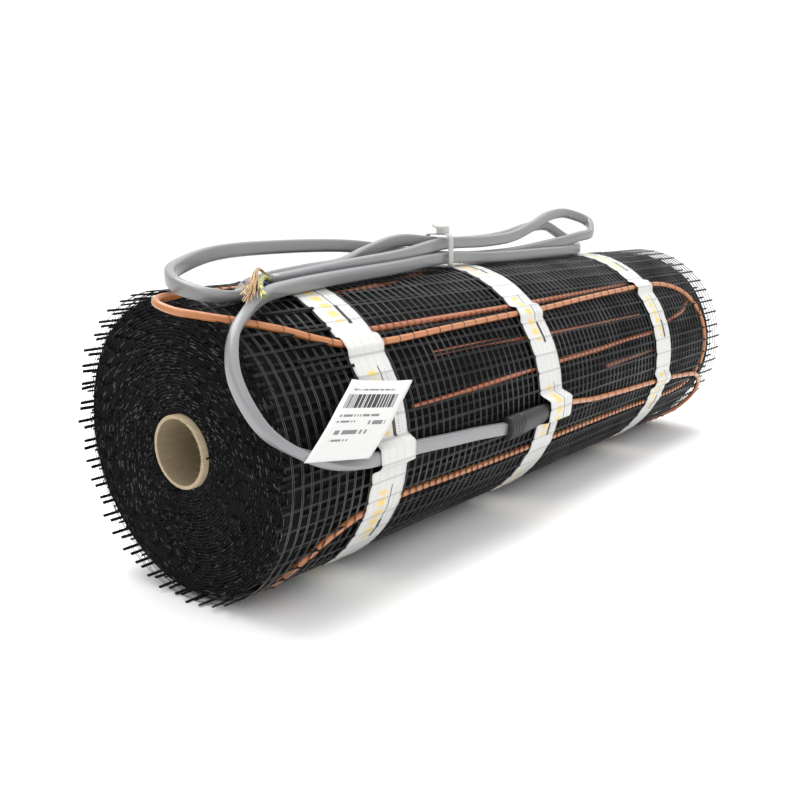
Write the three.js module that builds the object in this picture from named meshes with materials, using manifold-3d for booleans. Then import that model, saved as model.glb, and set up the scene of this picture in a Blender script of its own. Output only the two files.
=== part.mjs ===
// Underfloor heating mat, rolled up on its cardboard tube, with its cold lead in a hank on top.
// Millimetres. X runs along the roll, the viewer stands on the -Y side, +Z is up.
// The origin is on the floor, under the middle of the roll.
import * as THREE from "three";
import { mergeVertices } from "three/addons/utils/BufferGeometryUtils.js";
import Module from "manifold-3d";

const wasm = await Module();
wasm.setup();

// Driving dimensions: the roll
const matWidth = 500;
const rollRadius = 74;
const rollFacets = 40;
const tubeOuterRadius = 17.7;
const tubeWall = 2.6;
const tubeLength = 492;
const touchGap = 0.3;
const turnRidges = 11;
const ridgeDepth = 9;

// Driving dimensions: the three tapes that hold the cable on the mesh
const tapeWidth = 25;
const tapeThickness = 0.5;
const tapeSink = 0.1;
const tapeCentres = { tape_left: -182.5, tape_middle: -33.5, tape_right: 133 };
const tapeSlope = 5;
const tapeCrown = 0.3;

// Driving dimensions: heating cable, joint and cold lead
const cableDiameter = 3.5;
const cableSides = 8;
const cableProud = 0.6;
const cableSunk = 1.4;
const leadWidth = 7;
const leadThickness = 4.4;
const leadCorner = 1.5;
const leadSteps = 78;
const jointWidth = 14;
const jointThickness = 9;
const jointTipWidth = 8.4;
const jointStart = { x: -88, angle: -6.6 };
const jointEnd = { x: -19, angle: -4.9, height: 3.2 };
const jointRibs = 4;
const jointRibPitch = 3.2;
const jointRibDepth = 0.9;

// Driving dimensions: what is on the lead
const labelWidth = 39;
const labelHeight = 51;
const labelThickness = 0.6;
const labelFoot = { x: -227.7, angle: 4, height: 9.8 };
const labelTopHeight = 5;
const labelBulge = 1.2;
const labelSlant = { x: 0.826, angle: 0.396 };
const labelTilt = -0.118;
const tieX = -53;
const tieBand = 4;
const tieThickness = 0.8;
const tieHead = 6;
const tieRing = { near: -14, far: 3.4, low: 1.1, high: 19.1, cut: 2 };
const conductorDiameter = 2.4;

const cableRadius = cableDiameter / 2;
const halfLength = matWidth / 2;
const facetAngle = (2 * Math.PI) / rollFacets;
const degrees = Math.PI / 180;

// Heights of a round cable's centre over the roll's skin: half out of the net, or bedded in it
const onMesh = cableProud;
const inMesh = -cableSunk;
const bedSlack = 0.15;

// A place on the roll. The angle climbs from the viewer's side, where it is 0, to the top at 90.
function onRoll(x, angle, height) {
  const reach = rollRadius + height;
  return new THREE.Vector3(
    x,
    -reach * Math.cos(angle * degrees),
    rollRadius + reach * Math.sin(angle * degrees),
  );
}

// The same with the height over the roll's top line, for what lies in the hank
function overTop(x, y, height) {
  return new THREE.Vector3(x, y, 2 * rollRadius + height);
}

// How far the skin of the faceted roll is from the axis, with one facet flat on the floor
function facetReach(radius, angle) {
  const fromFacet = (((angle / facetAngle) % 1) + 1) % 1;
  const offset = fromFacet < 0.5 ? fromFacet : fromFacet - 1;
  return radius / Math.cos(offset * facetAngle);
}

// Heating cable, seen on the outermost turn.
// Each row is x, the angle round the roll, and the height of the cable's centre over its skin.
const outerTurnRoute = [
  [200, 101, inMesh],
  [120, 99, inMesh],
  [20, 98, inMesh],
  [-34, 94.5, inMesh],
  [-130, 85.5, inMesh],
  [-195, 84, inMesh],
  [-222, 83, inMesh],
  [-245, 82, inMesh + 0.4],
  [-259, 78.5, -0.4],
  [-266, 72.5, 0.4],
  [-264, 66.5, onMesh],
  [-254, 62, 0.5],
  [-240, 57, 0.5],
  [-222, 50.5, onMesh],
  [-208, 45, onMesh],
  [-192, 40.5, onMesh],
  [-168, 39, onMesh],
  [-110, 40, onMesh],
  [-47, 41, onMesh],
  [-18, 41.2, onMesh],
  [36, 42.9, onMesh],
  [98, 44.4, onMesh],
  [150, 45, onMesh],
  [170, 43.5, onMesh],
  [188, 39.5, onMesh],
  [202, 33, onMesh - 0.4],
  [212, 24, inMesh + 0.8],
  [217, 13, inMesh + 0.2],
  [218, 3, inMesh],
  [216, -8, inMesh - 0.2],
  [209, -16, inMesh - 0.4],
  [197, -22, inMesh - 0.4],
  [170, -25, inMesh],
  [78, -24.3, inMesh],
  [-7, -24, inMesh],
  [-37, -24.5, inMesh],
  [-108, -24, inMesh],
  [-170, -23, inMesh],
  [-195, -25, inMesh],
  [-212, -31, inMesh],
  [-224, -42, inMesh],
  [-228, -56, inMesh],
  [-222, -70, inMesh],
  [-205, -79, inMesh],
];

// Heating cable from the joint: one run, the loop at the edge, and back under the roll
const firstRunRoute = [
  [jointEnd.x + touchGap, jointEnd.angle, jointEnd.height],
  [0, -6.5, (onMesh + jointEnd.height) / 2],
  [20, -8.6, onMesh],
  [64, -10.3, onMesh],
  [135, -12.2, onMesh],
  [172, -14.1, onMesh],
  [200, -16, onMesh + 1.8],
  [214, -21, onMesh + 1.8],
  [227, -30, onMesh + 0.6],
  [232, -40, onMesh],
  [229, -51, onMesh],
  [219, -61, onMesh - 0.8],
  [202, -68, inMesh + 0.6],
  [180, -71, inMesh],
  [tapeCentres.tape_right, -71, inMesh],
];

// Cold lead, from the joint to its stripped end. Each row is a place and how far the flat lead
// stands on its edge there: 0 lies flat on the roll, 1 stands up.
const leadStartHeight = leadThickness / 2 + 0.55;
const leadRoute = [
  [onRoll(jointStart.x - 2 * touchGap, jointStart.angle, leadStartHeight + 0.8), 0],
  [onRoll(-112, -5, leadStartHeight), 0],
  [onRoll(-138, -3.6, leadStartHeight), 0],
  [onRoll(-165, -2, leadStartHeight), 0],
  [onRoll(-195, -1.4, leadStartHeight), 0],
  [onRoll(-221, 1.8, 4.4), 0.35],
  [onRoll(-246, 9, 6), 0.8],
  [onRoll(-260, 17, 6), 0.9],
  [onRoll(-265, 26, 5.6), 0.9],
  [onRoll(-264, 36, 5.2), 0.9],
  [onRoll(-256, 46.5, 7), 0.9],
  [onRoll(-243.5, 53.5, 7.4), 1],
  [overTop(-223, -38, -2.4), 1],
  [overTop(-198, -29, -0.7), 1],
  [overTop(-160, -23.5, 1.2), 1],
  [overTop(-110, -17, 3), 1],
  [overTop(-50, -9.7, 5.7), 1],
  [overTop(0, -10, 4.1), 1],
  [overTop(60, -9, 4.2), 1],
  [overTop(108, -6, 4.5), 1],
  [overTop(132, 1, 5.1), 1],
  [overTop(139, 10, 8), 1],
  [overTop(130, 16.5, 15), 1],
  [overTop(108, 16, 21.5), 1],
  [overTop(80, 13, 21), 1],
  [overTop(40, 7.5, 16.3), 1],
  [overTop(0, 1, 14.2), 1],
  [overTop(-48, -1, 14.2), 1],
  [overTop(-82, 1, 16.4), 1],
  [overTop(-112, 0, 11), 1],
  [overTop(-140, -6, 5.8), 0.8],
  [overTop(-176, -12.5, 4.6), 0.5],
  [overTop(-209, -16.5, 2.2), 0.3],
  [overTop(-231, -29.5, -2.2), 0.4],
  [overTop(-246, -29.5, -0.6), 0.6],
  [overTop(-253, -21, 2.8), 0.9],
  [overTop(-248, -8, 6.6), 1],
  [overTop(-231, 5, 9.8), 1],
  [overTop(-204, 15, 13.6), 1],
  [overTop(-160, 20, 14.8), 1],
  [overTop(-106, 18, 13.6), 1],
  [overTop(-70, 10, 9.2), 1],
  [overTop(-48, -3.4, 5.9), 1],
  [overTop(20, -3.6, 5), 1],
  [overTop(70, -3, 8.2), 1],
  [overTop(118, -6, 13.6), 1],
  [overTop(146, -2.5, 16.6), 1],
  [overTop(158, 7, 24), 1],
  [overTop(144, 17, 30), 1],
  [overTop(112, 14.5, 29), 1],
  [overTop(72, 5.5, 22), 1],
  [overTop(34, -1, 15.8), 1],
  [overTop(-6, -6, 14), 1],
  [overTop(-52, -7.2, 13.8), 1],
  [overTop(-97, -11.5, 8.8), 1],
  [overTop(-155, -18, 5.2), 1],
  [overTop(-205, -23, 1.6), 1],
];

// A smooth route that can be walked with its points close together in bends and far apart
// along straight runs.
class CableCurve extends THREE.CatmullRomCurve3 {
  constructor(points) {
    super(points, false, "centripetal");
  }

  getSpacedPoints(steps) {
    const points = [];
    for (let step = 0; step <= steps; step += 1) {
      points.push(this.getPoint(step / steps));
    }
    return points;
  }

  getPointAt(share) {
    return this.getPoint(share);
  }

  getTangentAt(share) {
    return this.getTangent(share);
  }
}

// A flat lead keeps its broad side where the route says, so it has its own frames
class LeadCurve extends THREE.CatmullRomCurve3 {
  constructor(route) {
    super(route.map((row) => row[0]), false, "centripetal");
    this.edges = route.map((row) => row[1]);
    this.arcLengthDivisions = 1200;
  }

  edgeAt(share) {
    const place = this.getUtoTmapping(share) * (this.edges.length - 1);
    const before = Math.min(Math.floor(place), this.edges.length - 2);
    return THREE.MathUtils.lerp(this.edges[before], this.edges[before + 1], place - before);
  }

  computeFrenetFrames(steps) {
    const tangents = [];
    const normals = [];
    const binormals = [];
    for (let step = 0; step <= steps; step += 1) {
      const share = step / steps;
      const tangent = this.getTangentAt(share);
      const outward = this.getPointAt(share);
      outward.x = 0;
      outward.z -= rollRadius;
      outward.normalize();
      const sideways = new THREE.Vector3().crossVectors(outward, tangent).normalize();
      const upright = new THREE.Vector3().crossVectors(tangent, sideways).normalize();
      const turn = this.edgeAt(share) * Math.PI * 0.5;
      const normal = sideways.multiplyScalar(Math.cos(turn)).addScaledVector(upright, Math.sin(turn));
      tangents.push(tangent);
      normals.push(normal.normalize());
      binormals.push(new THREE.Vector3().crossVectors(tangent, normal));
    }
    return { tangents, normals, binormals };
  }
}

function roundSection(radius, sides) {
  const corners = [];
  for (let side = 0; side < sides; side += 1) {
    const angle = ((side + 0.5) / sides) * 2 * Math.PI;
    corners.push(new THREE.Vector2(radius * Math.cos(angle), radius * Math.sin(angle)));
  }
  return new THREE.Shape(corners);
}

function flatSection(width, thickness, corner) {
  const x = width / 2;
  const y = thickness / 2;
  const corners = [
    [x, -y + corner],
    [x, y - corner],
    [x - corner, y],
    [-x + corner, y],
    [-x, y - corner],
    [-x, -y + corner],
    [-x + corner, -y],
    [x - corner, -y],
  ];
  return new THREE.Shape(corners.map((place) => new THREE.Vector2(place[0], place[1])));
}

function alongCurve(section, curve, steps) {
  return new THREE.ExtrudeGeometry(section, { steps, extrudePath: curve, curveSegments: 1 });
}

// Joins shared corners, so that a shape can be cut or joined as a solid
function asSolid(geometry) {
  geometry.deleteAttribute("normal");
  geometry.deleteAttribute("uv");
  const merged = mergeVertices(geometry, 0.001);
  return new wasm.Manifold(
    new wasm.Mesh({
      numProp: 3,
      vertProperties: Float32Array.from(merged.attributes.position.array),
      triVerts: Uint32Array.from(merged.index.array),
    }),
  );
}

function asGeometry(solid) {
  const mesh = solid.getMesh();
  const geometry = new THREE.BufferGeometry();
  geometry.setAttribute("position", new THREE.BufferAttribute(mesh.vertProperties, 3));
  geometry.setIndex(new THREE.BufferAttribute(mesh.triVerts, 1));
  geometry.computeVertexNormals();
  return geometry;
}

// Turns a closed profile of [radius, x] rows round the roll's axis, a facet flat on the floor
function turned(profile) {
  const points = profile.map((row) => new THREE.Vector2(row[0], row[1]));
  points.push(points[0].clone());
  const geometry = new THREE.LatheGeometry(points, rollFacets);
  geometry.rotateZ(-Math.PI / 2);
  geometry.rotateX(facetAngle / 2);
  geometry.translate(0, 0, rollRadius);
  return geometry;
}

// The corner radius of a faceted ring whose flats are at a given radius
function cornerRadius(radius) {
  return radius / Math.cos(facetAngle / 2);
}

const group = new THREE.Group();

function addPiece(name, geometry, color, roughness, metalness = 0) {
  const material = new THREE.MeshStandardMaterial({ color, roughness, metalness });
  const mesh = new THREE.Mesh(geometry, material);
  mesh.name = name;
  group.add(mesh);
  return mesh;
}

function buildTube() {
  const outer = cornerRadius(tubeOuterRadius);
  const inner = cornerRadius(tubeOuterRadius - tubeWall);
  const end = tubeLength / 2;
  addPiece("cardboard_tube", turned([[inner, -end], [outer, -end], [outer, end], [inner, end]]), 0xb9a284, 0.9);
}

// Ridges on an end face, from the bore out or from the skin in
function endRidges(side, outwards) {
  const bore = cornerRadius(tubeOuterRadius + touchGap);
  const pitch = (cornerRadius(rollRadius) - bore) / turnRidges;
  const rows = [];
  for (let ridge = 0; ridge < turnRidges; ridge += 1) {
    rows.push([bore + pitch * ridge, side * halfLength]);
    rows.push([bore + pitch * (ridge + 0.5), side * (halfLength - ridgeDepth)]);
  }
  rows.push([cornerRadius(rollRadius), side * halfLength]);
  return outwards ? rows : rows.reverse();
}

function buildRoll(sunkCables) {
  const skin = cornerRadius(rollRadius);
  const bed = cornerRadius(rollRadius - tapeSink - tapeThickness - touchGap);
  const skinRows = [];
  for (const centre of Object.values(tapeCentres)) {
    const reach = tapeWidth / 2 + touchGap;
    skinRows.push([skin, centre - reach], [bed, centre - reach], [bed, centre + reach], [skin, centre + reach]);
  }
  const profile = [...endRidges(-1, true), ...skinRows, ...endRidges(1, false)];
  let roll = asSolid(turned(profile));
  for (const cable of sunkCables) {
    roll = roll.subtract(cable);
  }
  addPiece("mat_roll", asGeometry(roll), 0x17171a, 0.75);
}

function cableCurve(route) {
  return new CableCurve(route.map((row) => onRoll(row[0], row[1], row[2])));
}

// The bed of a cable in the roll, along the whole of its route
function cableBed(route) {
  const bedRadius = (cableRadius + touchGap) / Math.cos(Math.PI / cableSides) + bedSlack;
  const steps = (route.length - 1) * 2;
  return asSolid(alongCurve(roundSection(bedRadius, cableSides), cableCurve(route), steps));
}

function buildCable(name, route) {
  const steps = (route.length - 1) * 2;
  const geometry = alongCurve(roundSection(cableRadius, cableSides), cableCurve(route), steps);
  addPiece(name, geometry, 0xc0703a, 0.4);
}

// How far the tape is from the axis where it rises over one cable. Past the foot it lies flat.
function tentReach(crossing, angle, flat, clearance) {
  const middle = crossing.angle * degrees;
  const away = Math.abs(Math.atan2(Math.sin(angle - middle), Math.cos(angle - middle)));
  const shoulder = (crossing.width / 2 + clearance) / rollRadius;
  const foot = shoulder + tapeSlope / rollRadius;
  const crest = rollRadius + crossing.height + clearance;
  if (away <= shoulder) {
    return crest + tapeCrown * (1 - away / shoulder);
  }
  return THREE.MathUtils.mapLinear(Math.min(away, foot), shoulder, foot, crest, flat);
}

// A tape is a closed band round the roll. It rises over whatever it holds down.
function tapeOutline(radius, crossings, clearance) {
  const angles = [];
  for (let facet = 0; facet < rollFacets; facet += 1) {
    angles.push((facet + 0.5) * facetAngle - Math.PI / 2);
  }
  for (const crossing of crossings) {
    const shoulder = (crossing.width / 2 + clearance) / rollRadius;
    for (const away of [0, shoulder, shoulder + tapeSlope / rollRadius]) {
      angles.push(crossing.angle * degrees - away, crossing.angle * degrees + away);
    }
  }
  const inOrder = angles.map((angle) => Math.atan2(Math.sin(angle), Math.cos(angle)));
  inOrder.sort((one, other) => one - other);
  const apart = inOrder.filter((angle, index) => index === 0 || angle - inOrder[index - 1] > 0.004);
  return apart.map((angle) => {
    const flat = facetReach(radius, angle + Math.PI / 2);
    const tents = crossings.map((crossing) => tentReach(crossing, angle, flat, clearance));
    const reach = Math.max(flat, ...tents);
    return new THREE.Vector2(reach * Math.cos(angle), reach * Math.sin(angle));
  });
}

function buildTape(name, crossings) {
  const outer = tapeOutline(rollRadius - tapeSink, crossings, touchGap + tapeThickness);
  const inner = tapeOutline(rollRadius - tapeSink - tapeThickness, crossings, touchGap);
  const shape = new THREE.Shape(outer);
  shape.holes.push(new THREE.Path(inner));
  const geometry = new THREE.ExtrudeGeometry(shape, { depth: tapeWidth, bevelEnabled: false });
  // The outline's first axis points to the viewer and its second one up
  const placed = new THREE.Matrix4().set(
    0, 0, -1, tapeCentres[name] + tapeWidth / 2,
    -1, 0, 0, 0,
    0, 1, 0, rollRadius,
    0, 0, 0, 1,
  );
  geometry.applyMatrix4(placed);
  addPiece(name, geometry, 0xf2f1ec, 0.45);
}

// The joint between the heating cable and the cold lead: a flattened sleeve with ribs at its mouth
function buildJoint() {
  const start = onRoll(jointStart.x, jointStart.angle, jointThickness / 2 + 0.5);
  const end = onRoll(jointEnd.x, jointEnd.angle, jointEnd.height);
  const length = start.distanceTo(end);
  const wide = jointWidth / 2;
  const profile = [[0, 0], [wide - 1, 0]];
  for (let rib = 0; rib < jointRibs; rib += 1) {
    const from = rib * jointRibPitch;
    profile.push([wide, from + 0.5]);
    profile.push([wide, from + jointRibPitch / 2]);
    profile.push([wide - jointRibDepth, from + jointRibPitch / 2 + 0.4]);
    profile.push([wide - jointRibDepth, from + jointRibPitch]);
  }
  const tip = jointTipWidth / 2;
  profile.push([wide - 0.4, jointRibs * jointRibPitch + 1]);
  profile.push([wide - 0.8, length * 0.45]);
  profile.push([tip, length * 0.75]);
  profile.push([tip - 0.6, length]);
  profile.push([0, length]);
  const points = profile.map((row) => new THREE.Vector2(row[0], row[1]));
  const geometry = new THREE.LatheGeometry(points, 16);
  geometry.scale(1, 1, jointThickness / jointWidth);
  const along = new THREE.Vector3().subVectors(end, start).normalize();
  const outward = onRoll(0, jointStart.angle, 0).sub(new THREE.Vector3(0, 0, rollRadius)).normalize();
  const across = new THREE.Vector3().crossVectors(along, outward).normalize();
  const square = new THREE.Vector3().crossVectors(across, along);
  geometry.applyMatrix4(new THREE.Matrix4().makeBasis(across, along, square).setPosition(start));
  addPiece("cable_joint", geometry, 0x1b1c1e, 0.6);
}

function buildLead() {
  const section = flatSection(leadWidth, leadThickness, leadCorner);
  const geometry = alongCurve(section, new LeadCurve(leadRoute), leadSteps);
  addPiece("cold_lead", geometry, 0x8d9093, 0.45);
}

// The flag label hangs on the lead by its lower edge and leans towards the left tape
function buildLabel() {
  const geometry = new THREE.BoxGeometry(labelWidth, labelHeight, labelThickness, 4, 6, 1);
  const positions = geometry.attributes.position;
  const corner = new THREE.Vector3();
  for (let index = 0; index < positions.count; index += 1) {
    corner.fromBufferAttribute(positions, index);
    const up = corner.y + labelHeight / 2;
    const share = up / labelHeight;
    const height = THREE.MathUtils.lerp(labelFoot.height, labelTopHeight, share);
    const place = onRoll(
      labelFoot.x + corner.x + labelSlant.x * up,
      labelFoot.angle + labelTilt * corner.x + labelSlant.angle * up,
      height + labelBulge * Math.sin(share * Math.PI) + corner.z,
    );
    positions.setXYZ(index, place.x, place.y, place.z);
  }
  geometry.computeVertexNormals();
  addPiece("flag_label", geometry, 0xf5f5f3, 0.5);
}

// Cable tie round the four passes of the lead. Its band is a ring with cut corners, in the YZ
// plane, with the lock standing on top.
function buildTie() {
  const { near, far, low, high, cut } = tieRing;
  const ring = (grow) => [
    new THREE.Vector2(near - grow, low + cut),
    new THREE.Vector2(near + cut, low - grow),
    new THREE.Vector2(far - cut, low - grow),
    new THREE.Vector2(far + grow, low + cut),
    new THREE.Vector2(far + grow, high - cut),
    new THREE.Vector2(far - cut, high + grow),
  ];
  const topNear = (grow) => [
    new THREE.Vector2(near + cut, high + grow),
    new THREE.Vector2(near - grow, high - cut),
  ];
  const lockNear = near + cut + 1;
  const lock = [
    new THREE.Vector2(lockNear + tieHead, high + tieThickness),
    new THREE.Vector2(lockNear + tieHead, high + tieHead),
    new THREE.Vector2(lockNear, high + tieHead),
    new THREE.Vector2(lockNear, high + tieThickness),
  ];
  const outline = new THREE.Shape([...ring(tieThickness), ...lock, ...topNear(tieThickness)]);
  outline.holes.push(new THREE.Path([...ring(0), ...topNear(0)]));
  const geometry = new THREE.ExtrudeGeometry(outline, { depth: tieBand, bevelEnabled: false });
  const placed = new THREE.Matrix4().set(
    0, 0, 1, tieX - tieBand / 2,
    1, 0, 0, 0,
    0, 1, 0, 2 * rollRadius,
    0, 0, 0, 1,
  );
  geometry.applyMatrix4(placed);
  addPiece("cable_tie", geometry, 0xe9e9e6, 0.4);
}

// The stripped end: two insulated conductors and the screen, which ends in loose strands
function buildStrippedEnd() {
  const radius = conductorDiameter / 2;
  const earth = new THREE.CatmullRomCurve3([
    overTop(-206.8, -23.8, 2.8),
    overTop(-213, -28.5, 4.6),
    overTop(-221, -35.5, 4.4),
    overTop(-229.5, -44, 2.4),
    overTop(-232.5, -49.5, -1.2),
  ]);
  addPiece("conductor_earth", alongCurve(roundSection(radius, 8), earth, 10), 0xa8b03c, 0.4);
  const neutral = new THREE.CatmullRomCurve3([
    overTop(-206.4, -24.2, -0.4),
    overTop(-212, -27, 2),
    overTop(-220, -29.6, 3.2),
    overTop(-227, -31, 3),
  ]);
  addPiece("conductor_neutral", alongCurve(roundSection(radius * 0.75, 8), neutral, 8), 0x4a4f86, 0.4);
  const screen = new THREE.CatmullRomCurve3([
    overTop(-206.4, -22, 5.2),
    overTop(-213, -25.6, 8),
    overTop(-222, -33, 7.4),
    overTop(-230.5, -41, 3.4),
  ]);
  const neck = asSolid(alongCurve(roundSection(0.8, 8), screen, 10));
  const strands = new THREE.LatheGeometry([
    new THREE.Vector2(0, 0),
    new THREE.Vector2(0.8, 0),
    new THREE.Vector2(2.8, 9),
    new THREE.Vector2(2.2, 12),
    new THREE.Vector2(0, 12),
  ], 10);
  const from = overTop(-230, -40.6, 3.7);
  const along = overTop(-241, -48, -1).sub(from).normalize();
  const turn = new THREE.Quaternion().setFromUnitVectors(new THREE.Vector3(0, 1, 0), along);
  strands.applyQuaternion(turn);
  strands.translate(from.x, from.y, from.z);
  addPiece("screen_strands", asGeometry(neck.add(asSolid(strands))), 0xc58a52, 0.35, 0.8);
}

const outerTurnCrossings = {
  tape_left: { angle: 39.6, width: cableDiameter, height: onMesh + cableRadius },
  tape_middle: { angle: 41.1, width: cableDiameter, height: onMesh + cableRadius },
  tape_right: { angle: 44.9, width: cableDiameter, height: onMesh + cableRadius },
};
const beddedHeight = inMesh + cableRadius;

buildTube();
buildRoll([cableBed(outerTurnRoute), cableBed(firstRunRoute)]);
buildCable("heating_cable_outer_turn", outerTurnRoute);
buildCable("heating_cable_first_run", firstRunRoute);
buildTape("tape_left", [
  outerTurnCrossings.tape_left,
  { angle: -1.6, width: leadWidth, height: leadStartHeight + leadThickness / 2 },
  { angle: -24, width: cableDiameter, height: beddedHeight },
  { angle: 84.3, width: cableDiameter, height: beddedHeight },
]);
buildTape("tape_middle", [
  outerTurnCrossings.tape_middle,
  { angle: -5, width: jointTipWidth + 1.5, height: jointThickness * 0.85 },
  { angle: -24.5, width: cableDiameter, height: beddedHeight },
  { angle: 94.5, width: cableDiameter, height: beddedHeight },
]);
buildTape("tape_right", [
  outerTurnCrossings.tape_right,
  { angle: -12.1, width: cableDiameter, height: onMesh + cableRadius },
  { angle: -24.7, width: cableDiameter, height: beddedHeight },
  { angle: -71, width: cableDiameter, height: beddedHeight },
  { angle: 99.3, width: cableDiameter, height: beddedHeight },
]);
buildJoint();
buildLead();
buildLabel();
buildTie();
buildStrippedEnd();

export default group;
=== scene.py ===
"""Looks of a rolled underfloor heating mat: net, heating cable, tapes, cold lead, label and tube.

The part's frame: metres, X along the roll, the viewer on the -Y side, +Z up, and the origin on the
floor under the middle of the roll. Routes and places in the tables below are in millimetres.
"""

import math
import random

import bmesh
import bpy
from mathutils import Matrix, Vector, noise


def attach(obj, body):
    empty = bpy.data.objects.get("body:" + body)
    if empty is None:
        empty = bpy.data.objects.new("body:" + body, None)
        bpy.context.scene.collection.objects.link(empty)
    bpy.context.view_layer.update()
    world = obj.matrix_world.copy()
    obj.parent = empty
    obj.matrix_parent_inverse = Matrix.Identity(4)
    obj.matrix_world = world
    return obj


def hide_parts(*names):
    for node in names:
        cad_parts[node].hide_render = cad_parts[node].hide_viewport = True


bl_info = {
    "name": "Underfloor heating mat",
    "version": (1, 0, 0),
    "blender": (4, 5, 0),
    "location": "View3D > Sidebar > Heating mat",
    "description": "Dresses a rolled underfloor heating mat with its net, cable, tapes and lead",
    "category": "Object",
}

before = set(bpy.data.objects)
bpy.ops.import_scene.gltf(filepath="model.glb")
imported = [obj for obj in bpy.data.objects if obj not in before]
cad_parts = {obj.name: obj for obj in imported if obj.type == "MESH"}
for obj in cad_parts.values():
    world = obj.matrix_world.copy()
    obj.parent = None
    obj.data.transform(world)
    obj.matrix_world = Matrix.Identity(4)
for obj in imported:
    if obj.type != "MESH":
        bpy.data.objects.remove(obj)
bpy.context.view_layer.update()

MM = 0.001
SEED = 47

# Camera
CAMERA_PLACE = (-0.4911, -0.3364, 0.1824)
CAMERA_YAW = 0.9469
CAMERA_PITCH = 0.2756
CAMERA_LENS = 40.09
CAMERA_SHIFT = (-0.075, 0.075)

# Net: heights are over the skin of the roll
ROLL_RADIUS = 74.0
WEFT_COUNT = 46
WEFT_PITCH = 2 * math.pi * ROLL_RADIUS / WEFT_COUNT
WEFT_PARTS = 64
WARP_PITCH = 5.5
WARP_FIRST = -244.75
WARP_COUNT = 90
WARP_PAIR = 0.9
RING_STEPS = 92
OUTER_NET = -0.5
SECOND_NET = -2.2
INNER_CABLE = -3.4
DEEPER_CABLE = -4.3
CORE_DEPTH = 3.6
CORE_LEFT = 243.0
CORE_RIGHT = 232.0
HALF_WIDTH = 250.0
TURN_PITCH = 1.55
FLECK_COUNT = 900

# Heating cable: heights of its centre over the skin of the roll
CABLE_RADIUS = 1.75
ON_MESH = 0.6
IN_MESH = -1.4

# Rows of x, angle from the viewer's side up to the top, and height over the skin
OUTER_TURN = [
    (200, 101, IN_MESH), (120, 99, IN_MESH), (20, 98, IN_MESH), (-34, 94.5, IN_MESH),
    (-130, 85.5, IN_MESH), (-195, 84, IN_MESH), (-222, 83, IN_MESH), (-245, 82, -1.0),
    (-259, 78.5, -0.4), (-266, 72.5, 0.4), (-264, 66.5, ON_MESH), (-254, 62, 0.5),
    (-240, 57, 0.5), (-222, 50.5, ON_MESH), (-208, 45, ON_MESH), (-192, 40.5, ON_MESH),
    (-168, 39, ON_MESH), (-110, 40, ON_MESH), (-47, 41, ON_MESH), (-18, 41.2, ON_MESH),
    (36, 42.9, ON_MESH), (98, 44.4, ON_MESH), (150, 45, ON_MESH), (170, 43.5, ON_MESH),
    (188, 39.5, ON_MESH), (202, 33, 0.2), (212, 24, -0.6), (217, 13, -1.2), (218, 3, IN_MESH),
    (216, -8, -1.6), (209, -16, -1.8), (197, -22, -1.8), (170, -25, IN_MESH),
    (78, -24.3, IN_MESH), (-7, -24, IN_MESH), (-37, -24.5, IN_MESH), (-108, -24, IN_MESH),
    (-170, -23, IN_MESH), (-195, -25, IN_MESH), (-212, -31, IN_MESH), (-224, -42, IN_MESH),
    (-228, -56, IN_MESH), (-222, -70, IN_MESH), (-205, -79, IN_MESH),
]
FIRST_RUN = [
    (-18.7, -4.9, 3.2), (0, -6.5, 1.9), (20, -8.6, ON_MESH), (64, -10.3, ON_MESH),
    (135, -12.2, ON_MESH), (172, -14.1, ON_MESH), (200, -16, 2.4), (214, -21, 2.4),
    (227, -30, 1.2), (232, -40, ON_MESH), (229, -51, ON_MESH), (219, -61, -0.2),
    (202, -68, -0.8), (180, -71, IN_MESH), (133, -71, IN_MESH),
]
# Runs underneath, seen through the net
INNER_RUNS = [
    [(-160, 11.8, INNER_CABLE), (-129, 12.1, INNER_CABLE), (-102, 12.8, INNER_CABLE),
     (-39, 14.5, INNER_CABLE), (39, 15.3, INNER_CABLE), (86, 16.3, INNER_CABLE),
     (123, 17, INNER_CABLE), (160, 22, INNER_CABLE), (187, 25.1, INNER_CABLE),
     (205, 31.5, INNER_CABLE)],
    [(-131, 31.4, DEEPER_CABLE), (-87, 31.4, DEEPER_CABLE), (-8, 29.1, DEEPER_CABLE),
     (113, 28.4, DEEPER_CABLE)],
    [(-175, 46, -1.9), (-33, 46.5, -1.9), (40, 48, -2.8), (120, 50, INNER_CABLE)],
    [(45, 5, DEEPER_CABLE), (125, 7, DEEPER_CABLE)],
    [(-168, 70, INNER_CABLE), (-122, 75.5, INNER_CABLE), (-67, 87, INNER_CABLE)],
]

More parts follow.
